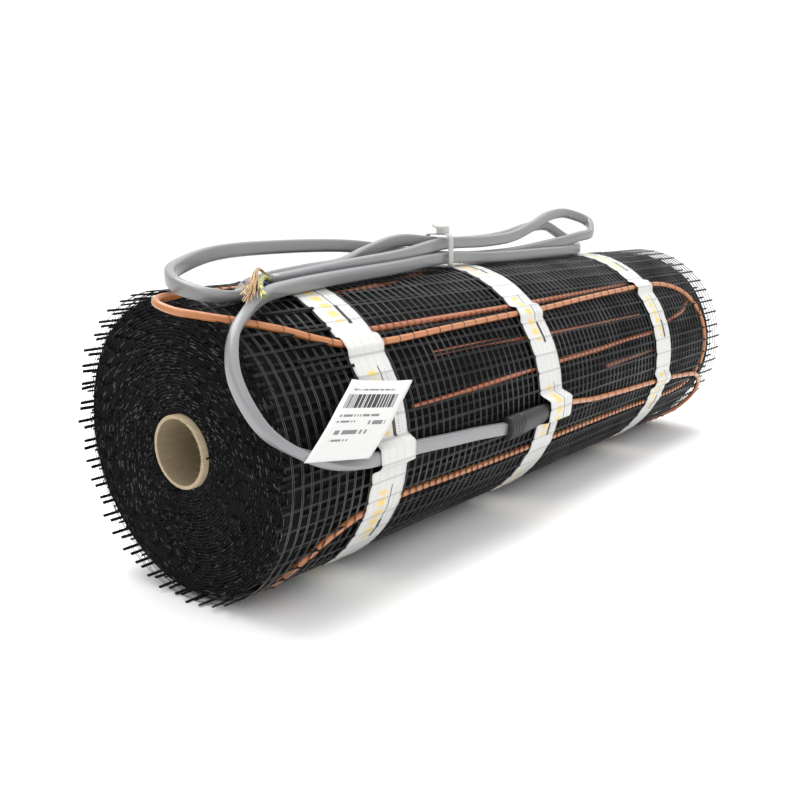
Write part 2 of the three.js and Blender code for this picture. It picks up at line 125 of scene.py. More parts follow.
# Cold lead: how it lies on the side of the roll, then in the hank on top of it. A row's last number
# is how far the flat lead stands on its edge: 0 lies flat, 1 stands up.
LEAD_ON_ROLL = [
    (-88.6, -6.6, 3.55, 0), (-112, -5, 2.75, 0), (-138, -3.6, 2.75, 0), (-165, -2, 2.75, 0),
    (-195, -1.4, 2.75, 0), (-221, 1.8, 4.4, 0.35), (-246, 9, 6, 0.8), (-260, 17, 6, 0.9),
    (-265, 26, 5.6, 0.9), (-264, 36, 5.2, 0.9), (-256, 46.5, 7, 0.9), (-243.5, 53.5, 7.4, 1),
]
LEAD_IN_HANK = [
    (-223, -38, -2.4, 1), (-198, -29, -0.7, 1), (-160, -23.5, 1.2, 1), (-110, -17, 3, 1),
    (-50, -9.7, 5.7, 1), (0, -10, 4.1, 1), (60, -9, 4.2, 1), (108, -6, 4.5, 1),
    (132, 1, 5.1, 1), (139, 10, 8, 1), (130, 16.5, 15, 1), (108, 16, 21.5, 1),
    (80, 13, 21, 1), (40, 7.5, 16.3, 1), (0, 1, 14.2, 1), (-48, -1, 14.2, 1),
    (-82, 1, 16.4, 1), (-112, 0, 11, 1), (-140, -6, 5.8, 0.8), (-176, -12.5, 4.6, 0.5),
    (-209, -16.5, 2.2, 0.3), (-231, -29.5, -2.2, 0.4), (-246, -29.5, -0.6, 0.6),
    (-253, -21, 2.8, 0.9), (-248, -8, 6.6, 1), (-231, 5, 9.8, 1), (-204, 15, 13.6, 1),
    (-160, 20, 14.8, 1), (-106, 18, 13.6, 1), (-70, 10, 9.2, 1), (-48, -3.4, 5.9, 1),
    (20, -3.6, 5, 1), (70, -3, 8.2, 1), (118, -6, 13.6, 1), (146, -2.5, 16.6, 1),
    (158, 7, 24, 1), (144, 17, 30, 1), (112, 14.5, 29, 1), (72, 5.5, 22, 1),
    (34, -1, 15.8, 1), (-6, -6, 14, 1), (-52, -7.2, 13.8, 1), (-97, -11.5, 8.8, 1),
    (-155, -18, 5.2, 1), (-205, -23, 1.6, 1),
]
LEAD_STEPS = 9

# Stripped end of the lead: x, y and height over the top line of the roll
EARTH_ROUTE = [
    (-205.5, -23.4, 2.6), (-213, -28.5, 4.6), (-221, -35.5, 4.4), (-229.5, -44, 2.4),
    (-232.5, -49.5, -1.2),
]
NEUTRAL_ROUTE = [(-205.4, -23.8, -0.2), (-212, -27, 2), (-220, -29.6, 3.2), (-227, -31, 3)]
SCREEN_ROUTE = [(-205.4, -22.4, 4.2), (-213, -25.6, 8), (-222, -33, 7.4), (-230.5, -41, 3.4)]
STRAND_TIPS = (-240, -47.5, -1)
STRAND_COUNT = 42

# Tapes: node, middle, where a printed block sits round the roll, and what lies under the tape
# as rows of angle, width and height
TAPES = [
    ("tape_left", -182.5, 22.0,
     [(39.6, 3.5, 2.35), (-1.6, 7, 4.95), (-24, 3.5, 0.35), (84.3, 3.5, 0.35)]),
    ("tape_middle", -33.5, -9.0,
     [(41.1, 3.5, 2.35), (-5, 9.9, 7.4), (-24.5, 3.5, 0.35), (94.5, 3.5, 0.35)]),
    ("tape_right", 133.0, 33.0,
     [(44.9, 3.5, 2.35), (-12.1, 3.5, 2.35), (-24.7, 3.5, 0.35), (-71, 3.5, 0.35),
      (99.3, 3.5, 0.35)]),
]
TAPE_STEPS = 552
TAPE_LANES = 10
TAPE_SLOPE = 4.5
PRINT_PITCH = WEFT_PITCH * WEFT_COUNT / 8

# Joint: x and angle of both ends
JOINT_START = (-88.0, -6.6)
JOINT_END = (-19.0, -4.9, 3.2)
JOINT_RIBS = 4
JOINT_RIB_PITCH = 3.2

# Flag label: x, angle and height of the middle of its foot, and how these change up and across it
LABEL_FOOT = (-227.7, 4.0, 9.8)
LABEL_TOP_HEIGHT = 5.0
LABEL_SLANT = (0.826, 0.396)
LABEL_TILT = -0.118

# Cable tie round the hank: x, and the ring's limits in y and in height over the roll
TIE_X = -53.0
TIE_NEAR = -14.4
TIE_FAR = 3.8
TIE_LOW = 0.7
TIE_HIGH = 19.5
TIE_CORNER = 3.0


class HeatingMatSizes(bpy.types.PropertyGroup):
    """Sizes of the dressed pieces"""

    weft_width: bpy.props.FloatProperty(
        name="Weft width", description="Width of a flat thread that runs along the roll",
        default=0.0014, min=0.0005, max=0.006, unit="LENGTH")
    weft_thickness: bpy.props.FloatProperty(
        name="Weft thickness", description="Thickness of a flat thread that runs along the roll",
        default=0.0006, min=0.0001, max=0.002, unit="LENGTH")
    warp_diameter: bpy.props.FloatProperty(
        name="Warp diameter", description="Diameter of one thread of a pair round the roll",
        default=0.0003, min=0.0001, max=0.002, unit="LENGTH")
    lead_width: bpy.props.FloatProperty(
        name="Lead width", description="Width of the flat cold lead",
        default=0.007, min=0.002, max=0.02, unit="LENGTH")
    lead_thickness: bpy.props.FloatProperty(
        name="Lead thickness", description="Thickness of the flat cold lead",
        default=0.0044, min=0.001, max=0.02, unit="LENGTH")
    tape_width: bpy.props.FloatProperty(
        name="Tape width", description="Width of the tapes that hold the cable",
        default=0.025, min=0.005, max=0.05, unit="LENGTH")
    tape_thickness: bpy.props.FloatProperty(
        name="Tape thickness", description="Thickness of the tapes that hold the cable",
        default=0.00035, min=0.0001, max=0.001, unit="LENGTH")
    label_width: bpy.props.FloatProperty(
        name="Label width", description="Width of the flag label",
        default=0.039, min=0.01, max=0.08, unit="LENGTH")
    label_height: bpy.props.FloatProperty(
        name="Label height", description="Height of the flag label",
        default=0.051, min=0.01, max=0.1, unit="LENGTH")
    tube_radius: bpy.props.FloatProperty(
        name="Tube radius", description="Outer radius of the cardboard tube",
        default=0.0177, min=0.005, max=0.05, unit="LENGTH")
    tube_wall: bpy.props.FloatProperty(
        name="Tube wall", description="Wall of the cardboard tube",
        default=0.002, min=0.0005, max=0.01, unit="LENGTH")
    tube_length: bpy.props.FloatProperty(
        name="Tube length", description="Length of the cardboard tube",
        default=0.492, min=0.1, max=1.0, unit="LENGTH")


class HeatingMatColours(bpy.types.PropertyGroup):
    """Colours of the dressed pieces"""

    net: bpy.props.FloatVectorProperty(
        name="Net", description="Flat threads of the net", subtype="COLOR",
        default=(0.004, 0.004, 0.0044), min=0, max=1)
    thread: bpy.props.FloatVectorProperty(
        name="Thread", description="Fine threads round the roll", subtype="COLOR",
        default=(0.05, 0.051, 0.053), min=0, max=1)
    cable: bpy.props.FloatVectorProperty(
        name="Heating cable", description="Jacket of the heating cable", subtype="COLOR",
        default=(0.43, 0.165, 0.05), min=0, max=1)
    lead: bpy.props.FloatVectorProperty(
        name="Cold lead", description="Sheath of the cold lead", subtype="COLOR",
        default=(0.19, 0.193, 0.198), min=0, max=1)
    tape: bpy.props.FloatVectorProperty(
        name="Tape", description="White of the tapes", subtype="COLOR",
        default=(0.56, 0.56, 0.545), min=0, max=1)
    ink: bpy.props.FloatVectorProperty(
        name="Gold ink", description="Printed blocks on the tapes", subtype="COLOR",
        default=(0.72, 0.50, 0.09), min=0, max=1)
    cardboard: bpy.props.FloatVectorProperty(
        name="Cardboard", description="Cardboard of the tube", subtype="COLOR",
        default=(0.44, 0.35, 0.23), min=0, max=1)


def on_roll(x, angle, height):
    """A place on the roll, in metres. The angle climbs from the viewer's side to the top at 90."""
    reach = ROLL_RADIUS + height
    turn = math.radians(angle)
    return Vector((x, -reach * math.cos(turn), ROLL_RADIUS + reach * math.sin(turn))) * MM


def over_top(x, y, height):
    """A place over the top line of the roll, in metres."""
    return Vector((x, y, 2 * ROLL_RADIUS + height)) * MM


def unrolled(place):
    """The millimetres along the roll, the angle round it and the height over its skin."""
    y = place.y / MM
    z = place.z / MM - ROLL_RADIUS
    return place.x / MM, math.atan2(z, -y), math.hypot(y, z) - ROLL_RADIUS


def smooth_route(places, steps):
    """A smooth line through the places. Its spacing keeps it from swinging wide in bends."""
    rows = [places[0] * 2 - places[1], *places, places[-1] * 2 - places[-2]]
    line = []
    for before, start, end, after in zip(rows, rows[1:], rows[2:], rows[3:]):
        first = math.sqrt((start - before).length)
        second = first + math.sqrt((end - start).length)
        third = second + math.sqrt((after - end).length)
        for step in range(steps):
            now = first + (second - first) * step / steps
            share = (now - first) / (second - first)
            near = before.lerp(start, now / first)
            middle = start.lerp(end, share)
            far = end.lerp(after, (now - second) / (third - second))
            one = near.lerp(middle, now / second)
            other = middle.lerp(far, (now - first) / (third - first))
            line.append(one.lerp(other, share))
    line.append(rows[-2])
    return line


def smoothstep(low, high, value):
    """0 below low, 1 above high, eased in between."""
    share = min(1.0, max(0.0, (value - low) / (high - low)))
    return share * share * (3 - 2 * share)


def noise_at(x, y, z):
    """A soft noise from about -1 to 1 at a place."""
    return noise.noise(Vector((x, y, z)))


def rounded_section(width, thickness, corner, parts):
    """Outline of a flat section with round corners."""
    outline = []
    for quarter in range(4):
        side_x = (1, -1, -1, 1)[quarter]
        side_y = (1, 1, -1, -1)[quarter]
        for part in range(parts + 1):
            turn = math.pi / 2 * (quarter + part / parts)
            x = side_x * (width / 2 - corner) + corner * math.cos(turn)
            y = side_y * (thickness / 2 - corner) + corner * math.sin(turn)
            outline.append((x, y))
    return outline


def swept_mesh(name, section, frames, closed=False):
    """A section carried along a row of frames, one extrusion for each."""
    bm = bmesh.new()
    corners = [bm.verts.new(frames[0] @ Vector((x, y, 0))) for x, y in section]
    edges = [bm.edges.new(pair) for pair in zip(corners, corners[1:] + corners[:1])]
    for before, after in zip(frames, frames[1:]):
        made = bmesh.ops.extrude_edge_only(bm, edges=edges)["geom"]
        verts = [item for item in made if isinstance(item, bmesh.types.BMVert)]
        edges = [item for item in made if isinstance(item, bmesh.types.BMEdge) and item.is_boundary]
        bmesh.ops.transform(bm, matrix=after @ before.inverted(), verts=verts)
    if closed:
        bmesh.ops.remove_doubles(bm, verts=bm.verts, dist=1e-6)
    else:
        ends = [edge for edge in bm.edges if edge.is_boundary]
        bmesh.ops.holes_fill(bm, edges=ends, sides=0)
    return finished_mesh(name, bm)


def finished_mesh(name, bm, smooth=True):
    """Turns the faces outwards and makes a mesh."""
    bmesh.ops.recalc_face_normals(bm, faces=bm.faces)
    for face in bm.faces:
        face.smooth = smooth
    mesh = bpy.data.meshes.new(name)
    bm.to_mesh(mesh)
    bm.free()
    return mesh


def round_lines(name, routes, radius, resolution=2, tapered=False):
    """One mesh of round threads or cables along the routes. Tapered ones end in a thinner tip."""
    curve = bpy.data.curves.new(name, "CURVE")
    curve.dimensions = "3D"
    curve.bevel_depth = radius
    curve.bevel_resolution = resolution
    curve.use_fill_caps = True
    for route in routes:
        spline = curve.splines.new("POLY")
        spline.points.add(len(route) - 1)
        for index, (point, place) in enumerate(zip(spline.points, route)):
            point.co = (*place, 1)
            if tapered:
                point.radius = 1 - 0.6 * index / (len(route) - 1)
    holder = bpy.data.objects.new(name, curve)
    bpy.context.scene.collection.objects.link(holder)
    bpy.context.view_layer.update()
    shape = holder.evaluated_get(bpy.context.evaluated_depsgraph_get())
    mesh = bpy.data.meshes.new_from_object(shape)
    mesh.name = name
    mesh.polygons.foreach_set("use_smooth", [True] * len(mesh.polygons))
    bpy.data.objects.remove(holder)
    bpy.data.curves.remove(curve)
    return mesh


def place_piece(name, mesh, material, replaced=()):
    """Adds a piece to the scene, on the part's only body."""
    piece = bpy.data.objects.new(name, mesh)
    bpy.context.scene.collection.objects.link(piece)
    mesh.materials.clear()
    mesh.materials.append(material)
    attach(piece, "root")
    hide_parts(*replaced)
    return piece


class Nodes:
    """Adds and joins the nodes of one tree."""

    def __init__(self, tree):
        self.tree = tree

    def add(self, kind, **settings):
        """A new node with these settings."""
        node = self.tree.nodes.new(kind)
        for name, value in settings.items():
            setattr(node, name, value)
        return node

    def feed(self, socket, value):
        """Joins an output to a socket, or sets the socket to a plain value."""
        if isinstance(value, bpy.types.NodeSocket):
            self.tree.links.new(value, socket)
        else:
            socket.default_value = value

    def math(self, operation, *values):
        """The output of a Math node."""
        node = self.add("ShaderNodeMath", operation=operation)
        for socket, value in zip(node.inputs, values):
            self.feed(socket, value)
        return node.outputs[0]

    def mix(self, share, one, other):
        """A colour between two."""
        node = self.add("ShaderNodeMix", data_type="RGBA")
        for label, value in (("Factor_Float", share), ("A_Color", one), ("B_Color", other)):
            socket = next(s for s in node.inputs if s.identifier == label)
            self.feed(socket, value)
        return next(s for s in node.outputs if s.identifier == "Result_Color")

    def group(self, tree, **values):
        """A placed node group. Underscores in the names stand for spaces."""
        node = self.add("ShaderNodeGroup", node_tree=tree)
        for name, value in values.items():
            self.feed(node.inputs[name.replace("_", " ")], value)
        return node


def new_group(name, inputs, outputs):
    """An empty node group with its sockets, and its input and output nodes."""
    tree = bpy.data.node_groups.new(name, "ShaderNodeTree")
    for label, kind, default in inputs:
        socket = tree.interface.new_socket(name=label, in_out="INPUT", socket_type=kind)
        socket.default_value = default
    for label, kind in outputs:
        tree.interface.new_socket(name=label, in_out="OUTPUT", socket_type=kind)
    nodes = Nodes(tree)
    return nodes, nodes.add("NodeGroupInput").outputs, nodes.add("NodeGroupOutput").inputs


def surface_grain():
    """Broad blotches as a level between two values, and a fine grain as a height."""
    name = "Surface grain"
    if name in bpy.data.node_groups:
        return bpy.data.node_groups[name]
    nodes, given, result = new_group(
        name,
        [
            ("Blotch Scale", "NodeSocketFloat", 30.0),
            ("Grain Scale", "NodeSocketFloat", 500.0),
            ("Low", "NodeSocketFloat", 0.0),
            ("High", "NodeSocketFloat", 1.0),
        ],
        [("Level", "NodeSocketFloat"), ("Height", "NodeSocketFloat")],
    )
    place = nodes.add("ShaderNodeTexCoord").outputs["Object"]
    blotches = nodes.add("ShaderNodeTexNoise")
    nodes.feed(blotches.inputs["Vector"], place)
    nodes.feed(blotches.inputs["Scale"], given["Blotch Scale"])
    nodes.feed(blotches.inputs["Detail"], 4.0)
    level = nodes.add("ShaderNodeMapRange")
    nodes.feed(level.inputs["Value"], blotches.outputs["Fac"])
    nodes.feed(level.inputs["From Min"], 0.3)
    nodes.feed(level.inputs["From Max"], 0.7)
    nodes.feed(level.inputs["To Min"], given["Low"])
    nodes.feed(level.inputs["To Max"], given["High"])
    grain = nodes.add("ShaderNodeTexNoise")
    nodes.feed(grain.inputs["Vector"], place)
    nodes.feed(grain.inputs["Scale"], given["Grain Scale"])
    nodes.feed(result["Level"], level.outputs["Result"])
    nodes.feed(result["Height"], grain.outputs["Fac"])
    return nodes.tree


def printed_bar():
    """A mask that is 1 between two places along one direction, with soft edges."""
    name = "Printed bar"
    if name in bpy.data.node_groups:
        return bpy.data.node_groups[name]
    nodes, given, result = new_group(
        name,
        [
            ("Place", "NodeSocketFloat", 0.0),
            ("Start", "NodeSocketFloat", 0.0),
            ("End", "NodeSocketFloat", 1.0),
            ("Softness", "NodeSocketFloat", 0.1),
        ],
        [("Mask", "NodeSocketFloat")],
    )
    steps = []
    for edge in ("Start", "End"):
        ramp = nodes.add("ShaderNodeMapRange", interpolation_type="SMOOTHSTEP")
        nodes.feed(ramp.inputs["Value"], given["Place"])
        nodes.feed(ramp.inputs["From Min"], given[edge])
        nodes.feed(ramp.inputs["From Max"], nodes.math("ADD", given[edge], given["Softness"]))
        steps.append(ramp.outputs["Result"])
    nodes.feed(result["Mask"], nodes.math("SUBTRACT", *steps))
    return nodes.tree


def new_material(name, colour, roughness, **settings):
    """A material with a Principled shader, its nodes and that shader's inputs."""
    material = bpy.data.materials.new(name)
    material.use_nodes = True
    nodes = Nodes(material.node_tree)
    inputs = material.node_tree.nodes["Principled BSDF"].inputs
    inputs["Base Color"].default_value = (*colour, 1)
    inputs["Roughness"].default_value = roughness
    for label, value in settings.items():
        inputs[label.replace("_", " ")].default_value = value
    return material, nodes, inputs


def grained(nodes, inputs, blotch, grain, rough, strength, distance):
    """Varies the roughness in blotches and gives the surface a fine grain."""
    spread = nodes.group(
        surface_grain(), Blotch_Scale=blotch, Grain_Scale=grain, Low=rough[0], High=rough[1])
    nodes.feed(inputs["Roughness"], spread.outputs["Level"])
    bump = nodes.add("ShaderNodeBump")
    bump.inputs["Strength"].default_value = strength
    bump.inputs["Distance"].default_value = distance
    nodes.feed(bump.inputs["Height"], spread.outputs["Height"])
    nodes.feed(inputs["Normal"], bump.outputs["Normal"])
    return spread


def net_material(colour, name="Black net", gloss=0.14):
    """Black coated net, duller in places."""
    if name in bpy.data.materials:
        return bpy.data.materials[name]
    material, nodes, inputs = new_material(name, colour, 0.4, Specular_IOR_Level=gloss)
    grained(nodes, inputs, 45.0, 900.0, (0.28, 0.55), 0.4, 0.0002)
    shade = nodes.group(surface_grain(), Blotch_Scale=25.0, Low=0.0, High=1.0)
    lighter = tuple(min(1.0, value * 2.6) for value in colour)
    nodes.feed(inputs["Base Color"], nodes.mix(shade.outputs["Level"], (*colour, 1), (*lighter, 1)))
    return material


def thread_material(colour, name="Glassy thread", gloss=0.5):
    """Glassy threads with painted glints: light blotches in their colour where they catch the light
    along their length.
    """
    if name in bpy.data.materials:
        return bpy.data.materials[name]
    material, nodes, inputs = new_material(name, colour, 0.3, Specular_IOR_Level=gloss)
    # Painted glints: the colour runs in blotches from 0.12 to 2.2 times the thread's colour, and the
    # light blotches stand in for glints.
    shade = nodes.group(surface_grain(), Blotch_Scale=38.0, Low=0.0, High=1.0)
    darker = tuple(value * 0.12 for value in colour)
    lighter = tuple(min(1.0, value * 2.2) for value in colour)
    nodes.feed(
        inputs["Base Color"], nodes.mix(shade.outputs["Level"], (*darker, 1), (*lighter, 1)))
    return material


def cable_material(colour, name="Heating cable jacket"):
    """Smooth copper-coloured jacket of the heating cable."""
    if name in bpy.data.materials:
        return bpy.data.materials[name]
    material, nodes, inputs = new_material(
        name, colour, 0.35, Coat_Weight=0.5, Coat_Roughness=0.18)
    spread = grained(nodes, inputs, 60.0, 700.0, (0.28, 0.45), 0.15, 0.0001)
    redder = (colour[0] * 0.8, colour[1] * 0.62, colour[2] * 0.55)
    level = nodes.math("MULTIPLY", spread.outputs["Height"], 0.8)
    nodes.feed(inputs["Base Color"], nodes.mix(level, (*colour, 1), (*redder, 1)))
    return material


def tape_material(name, colour, ink):
    """White tape with printed blocks, a rule and a row of ticks, laid out on its own UV map."""
    material, nodes, inputs = new_material(name, colour, 0.4)
    grained(nodes, inputs, 40.0, 450.0, (0.3, 0.5), 0.25, 0.0003)
    place = nodes.add("ShaderNodeSeparateXYZ")
    nodes.feed(place.inputs[0], nodes.add("ShaderNodeUVMap", uv_map="print").outputs["UV"])
    across = place.outputs["X"]
    turned = nodes.math("FRACT", nodes.math("ADD", place.outputs["Y"], 0.5))
    along = nodes.math("MULTIPLY", nodes.math("SUBTRACT", turned, 0.5), PRINT_PITCH)

    def block(x_span, y_span, soft=0.35):
        one = nodes.group(
            printed_bar(), Place=across, Start=x_span[0], End=x_span[1], Softness=soft)
        other = nodes.group(
            printed_bar(), Place=along, Start=y_span[0], End=y_span[1], Softness=soft)
        return nodes.math("MULTIPLY", one.outputs["Mask"], other.outputs["Mask"])

    def repeated(pitch, start, end):
        share = nodes.math("FRACT", nodes.math("DIVIDE", along, pitch))
        bar = nodes.group(printed_bar(), Place=share, Start=start, End=end, Softness=0.05)
        return bar.outputs["Mask"]

    weave = nodes.add("ShaderNodeSeparateXYZ")
    nodes.feed(weave.inputs[0], nodes.add("ShaderNodeUVMap", uv_map="weave").outputs["UV"])

    def threads(place, half, soft):
        bar = nodes.group(
            printed_bar(), Place=nodes.math("FRACT", place), Start=0.5 - half, End=0.5 + half - soft,
            Softness=soft)
        return bar.outputs["Mask"]

    # Darker lines where the threads lie under the tape, darkest where the tape's edges cross the wefts:
    # painted shade of the ridges the threads raise, and partly the black threads showing through the
    # thin tape.
    wefts = threads(weave.outputs["Y"], 0.09, 0.07)
    warps = threads(weave.outputs["X"], 0.10, 0.08)
    inside = nodes.group(printed_bar(), Place=across, Start=0.2, End=24.2, Softness=0.6)
    edges = nodes.math("MULTIPLY", nodes.math("SUBTRACT", 1.0, inside.outputs["Mask"]), wefts)
    thread_line_shade = nodes.math(
        "MAXIMUM", nodes.math("MULTIPLY", wefts, 0.34), nodes.math("MULTIPLY", warps, 0.14))
    wash = nodes.math("MULTIPLY", block((6.0, 13.8), (-17, 16), 1.2), 0.3)
    blocks = nodes.math("MULTIPLY", block((6.6, 12.4), (-15.5, 14.8), 0.8), repeated(6.1, 0.12, 0.74))
    blocks = nodes.math("MULTIPLY", blocks, 0.8)
    rule = nodes.math("MAXIMUM", block((15.3, 16.0), (-17, 17)), block((14.4, 16.8), (-17, -4)))
    ticks = nodes.math("MULTIPLY", block((18.8, 19.7), (-16, 15)), repeated(1.3, 0.1, 0.5))
    ticks = nodes.math("MULTIPLY", ticks, 0.5)
    pale = tuple(0.35 * one + 0.65 * other for one, other in zip(ink, colour))
    shown = nodes.mix(wash, (*colour, 1), (*pale, 1))
    shown = nodes.mix(blocks, shown, (*ink, 1))
    shown = nodes.mix(nodes.math("MAXIMUM", rule, ticks), shown, (0.012, 0.012, 0.012, 1))
    # Painted shade at the thread lines and at the tape's edges, mixed towards a dark grey.
    thread_line_shade = nodes.math("MAXIMUM", thread_line_shade, nodes.math("MULTIPLY", edges, 0.85))
    shown = nodes.mix(thread_line_shade, shown, (0.1, 0.1, 0.105, 1))
    nodes.feed(inputs["Base Color"], shown)
    return material


def label_material():
    """Label paper with a block of plain bars and a few rows of ticks on both sides."""
    material, nodes, inputs = new_material("Label paper", (0.6, 0.6, 0.59), 0.45)
    grained(nodes, inputs, 30.0, 800.0, (0.4, 0.55), 0.1, 0.0002)
    place = nodes.add("ShaderNodeSeparateXYZ")
    nodes.feed(place.inputs[0], nodes.add("ShaderNodeUVMap", uv_map="print").outputs["UV"])
    across, up = place.outputs["X"], place.outputs["Y"]

    def block(x_span, y_span):
        one = nodes.group(
            printed_bar(), Place=across, Start=x_span[0], End=x_span[1], Softness=0.006)
        other = nodes.group(
            printed_bar(), Place=up, Start=y_span[0], End=y_span[1], Softness=0.006)
        return nodes.math("MULTIPLY", one.outputs["Mask"], other.outputs["Mask"])

    def broken(count, share):
        cell = nodes.math("FLOOR", nodes.math("MULTIPLY", across, count))
        chance = nodes.add("ShaderNodeTexWhiteNoise", noise_dimensions="1D")
        nodes.feed(chance.inputs["W"], cell)
        return nodes.math("LESS_THAN", chance.outputs["Value"], share)

    shown = nodes.math("MULTIPLY", block((0.08, 0.92), (0.62, 0.80)), broken(84.0, 0.6))
    rows = [
        ((0.12, 0.80), (0.85, 0.875), 70.0), ((0.10, 0.72), (0.51, 0.54), 44.0),
        ((0.10, 0.40), (0.44, 0.465), 44.0), ((0.58, 0.88), (0.41, 0.46), 30.0),
        ((0.12, 0.66), (0.30, 0.35), 26.0), ((0.14, 0.44), (0.22, 0.245), 40.0),
    ]
    for x_span, y_span, count in rows:
        row = nodes.math("MULTIPLY", block(x_span, y_span), broken(count, 0.72))
        shown = nodes.math("MAXIMUM", shown, nodes.math("MULTIPLY", row, 0.75))
    nodes.feed(inputs["Base Color"], nodes.mix(shown, (0.6, 0.6, 0.59, 1), (0.03, 0.03, 0.032, 1)))
    return material


def cardboard_material(colour):
    """Grey-brown cardboard, wound in strips, with darker fibres."""
    material, nodes, inputs = new_material("Cardboard", colour, 0.9)
    place = nodes.add("ShaderNodeTexCoord").outputs["Object"]
    stretch = nodes.add("ShaderNodeMapping")
    stretch.inputs["Scale"].default_value = (0.25, 1, 1)
    nodes.feed(stretch.inputs["Vector"], place)
    fibres = nodes.add("ShaderNodeTexNoise")
    nodes.feed(fibres.inputs["Vector"], stretch.outputs["Vector"])
    nodes.feed(fibres.inputs["Scale"], 900.0)
    nodes.feed(fibres.inputs["Detail"], 5.0)
    darker = tuple(value * 0.55 for value in colour)
    paler = tuple(min(1.0, value * 1.25) for value in colour)
    nodes.feed(
        inputs["Base Color"], nodes.mix(fibres.outputs["Fac"], (*darker, 1), (*paler, 1)))
    # Painted shade: inside the bore the cardboard's colour is mixed three quarters of the way to a dark
    # brown.
    parts = nodes.add("ShaderNodeSeparateXYZ")
    nodes.feed(parts.inputs[0], place)
    rise = nodes.math("SUBTRACT", parts.outputs["Z"], ROLL_RADIUS * MM)
    reach = nodes.math("SQRT", nodes.math(
        "ADD", nodes.math("POWER", parts.outputs["Y"], 2.0), nodes.math("POWER", rise, 2.0)))
    bore = nodes.math("LESS_THAN", reach, 0.0159)
    board = inputs["Base Color"].links[0].from_socket
    nodes.feed(inputs["Base Color"], nodes.mix(
        nodes.math("MULTIPLY", bore, 0.75), board, (0.13, 0.10, 0.055, 1)))
    bump = nodes.add("ShaderNodeBump")
    bump.inputs["Strength"].default_value = 0.5
    bump.inputs["Distance"].default_value = 0.0004
    nodes.feed(bump.inputs["Height"], fibres.outputs["Fac"])
    nodes.feed(inputs["Normal"], bump.outputs["Normal"])
    return material


def earth_material():
    """Yellow insulation with a green stripe along it."""
    material, nodes, inputs = new_material("Earth insulation", (0.38, 0.36, 0.09), 0.35)
    place = nodes.add("ShaderNodeTexCoord").outputs["Object"]
    stripes = nodes.add("ShaderNodeTexWave", bands_direction="DIAGONAL")
    nodes.feed(stripes.inputs["Vector"], place)
    stripes.inputs["Scale"].default_value = 90.0
    side = nodes.math("GREATER_THAN", stripes.outputs["Fac"], 0.5)
    nodes.feed(
        inputs["Base Color"], nodes.mix(side, (0.38, 0.36, 0.09, 1), (0.16, 0.2, 0.07, 1)))
    return material


def plain_material(name, colour, roughness, **settings):
    """A plain finish with a little grain."""
    material, nodes, inputs = new_material(name, colour, roughness, **settings)
    grained(nodes, inputs, 50.0, 600.0, (roughness * 0.8, roughness * 1.2), 0.15, 0.0002)
    return material


def settle_net(bm, sway):
    """Lets a net's threads rise and sink a little along the roll."""
    for vert in bm.verts:
        x, turn, height = unrolled(vert.co)
        moved = sway * noise_at(x * 0.035, math.cos(turn) * 3.1, math.sin(turn) * 3.1)
        reach = 1 + moved / (ROLL_RADIUS + height)
        vert.co.y *= reach
        vert.co.z = (vert.co.z - ROLL_RADIUS * MM) * reach + ROLL_RADIUS * MM


def weft_angle(index, phase=0.0):
    """The angle of a thread that runs along the roll, in degrees."""
    return (index + 0.5 + phase) * 360 / WEFT_COUNT


def around_roll(x, angle, height):
    """A frame on the roll: X along it, Y round it and Z outwards."""
    turn = math.radians(angle)
    place = on_roll(x, angle, height)
    turned = Matrix((
        (1, 0, 0),
        (0, math.sin(turn), -math.cos(turn)),
        (0, math.cos(turn), math.sin(turn)),
    ))
    return Matrix.Translation(place) @ turned.to_4x4()


def add_ribbon(bm, start, end, angle, height, width, thickness):
    """A flat thread along the roll, between two places in millimetres."""
    size = Matrix.Diagonal(((end - start) * MM, width, thickness, 1))
    bmesh.ops.create_cube(bm, size=1, matrix=around_roll((start + end) / 2, angle, height) @ size)


def weft_mesh(name, sizes, height, phase, reach, rng):
    """The flat threads of one turn of the net."""
    bm = bmesh.new()
    for index in range(WEFT_COUNT):
        start = -reach + rng.uniform(0, 3.0)
        end = reach - rng.uniform(0, 3.0)
        angle = weft_angle(index, phase) + rng.uniform(-0.35, 0.35)
        add_ribbon(bm, start, end, angle, height, sizes.weft_width, sizes.weft_thickness)
    long_edges = [edge for edge in bm.edges if edge.calc_length() > 0.1]
    bmesh.ops.subdivide_edges(bm, edges=long_edges, cuts=WEFT_PARTS, use_grid_fill=True)
    settle_net(bm, 0.35)
    return finished_mesh(name, bm, smooth=False)


def ring_mesh(name, section, height):
    """A thin ring round the roll with the given section of along and outward places."""
    bm = bmesh.new()
    radius = (ROLL_RADIUS + height) * MM
    middle = ROLL_RADIUS * MM
    corners = [bm.verts.new((x, 0, middle + radius + z)) for x, z in section]
    edges = [bm.edges.new(pair) for pair in zip(corners, corners[1:] + corners[:1])]
    bmesh.ops.spin(
        bm, geom=corners + edges, cent=(0, 0, middle), axis=(1, 0, 0), angle=2 * math.pi,
        steps=RING_STEPS, use_merge=True)
    bmesh.ops.remove_doubles(bm, verts=bm.verts, dist=1e-6)
    return finished_mesh(name, bm)


def warp_mesh(name, ring, offsets, shift, count):
    """Copies of one ring at the pitch of the threads round the roll."""
    bm = bmesh.new()
    here = 0.0
    for index in range(count):
        for offset in offsets:
            place = (WARP_FIRST + shift + WARP_PITCH * index + offset) * MM
            ring.transform(Matrix.Translation((place - here, 0, 0)))
            bm.from_mesh(ring)
            here = place
    settle_net(bm, 0.35)
    bpy.data.meshes.remove(ring)
    return finished_mesh(name, bm)


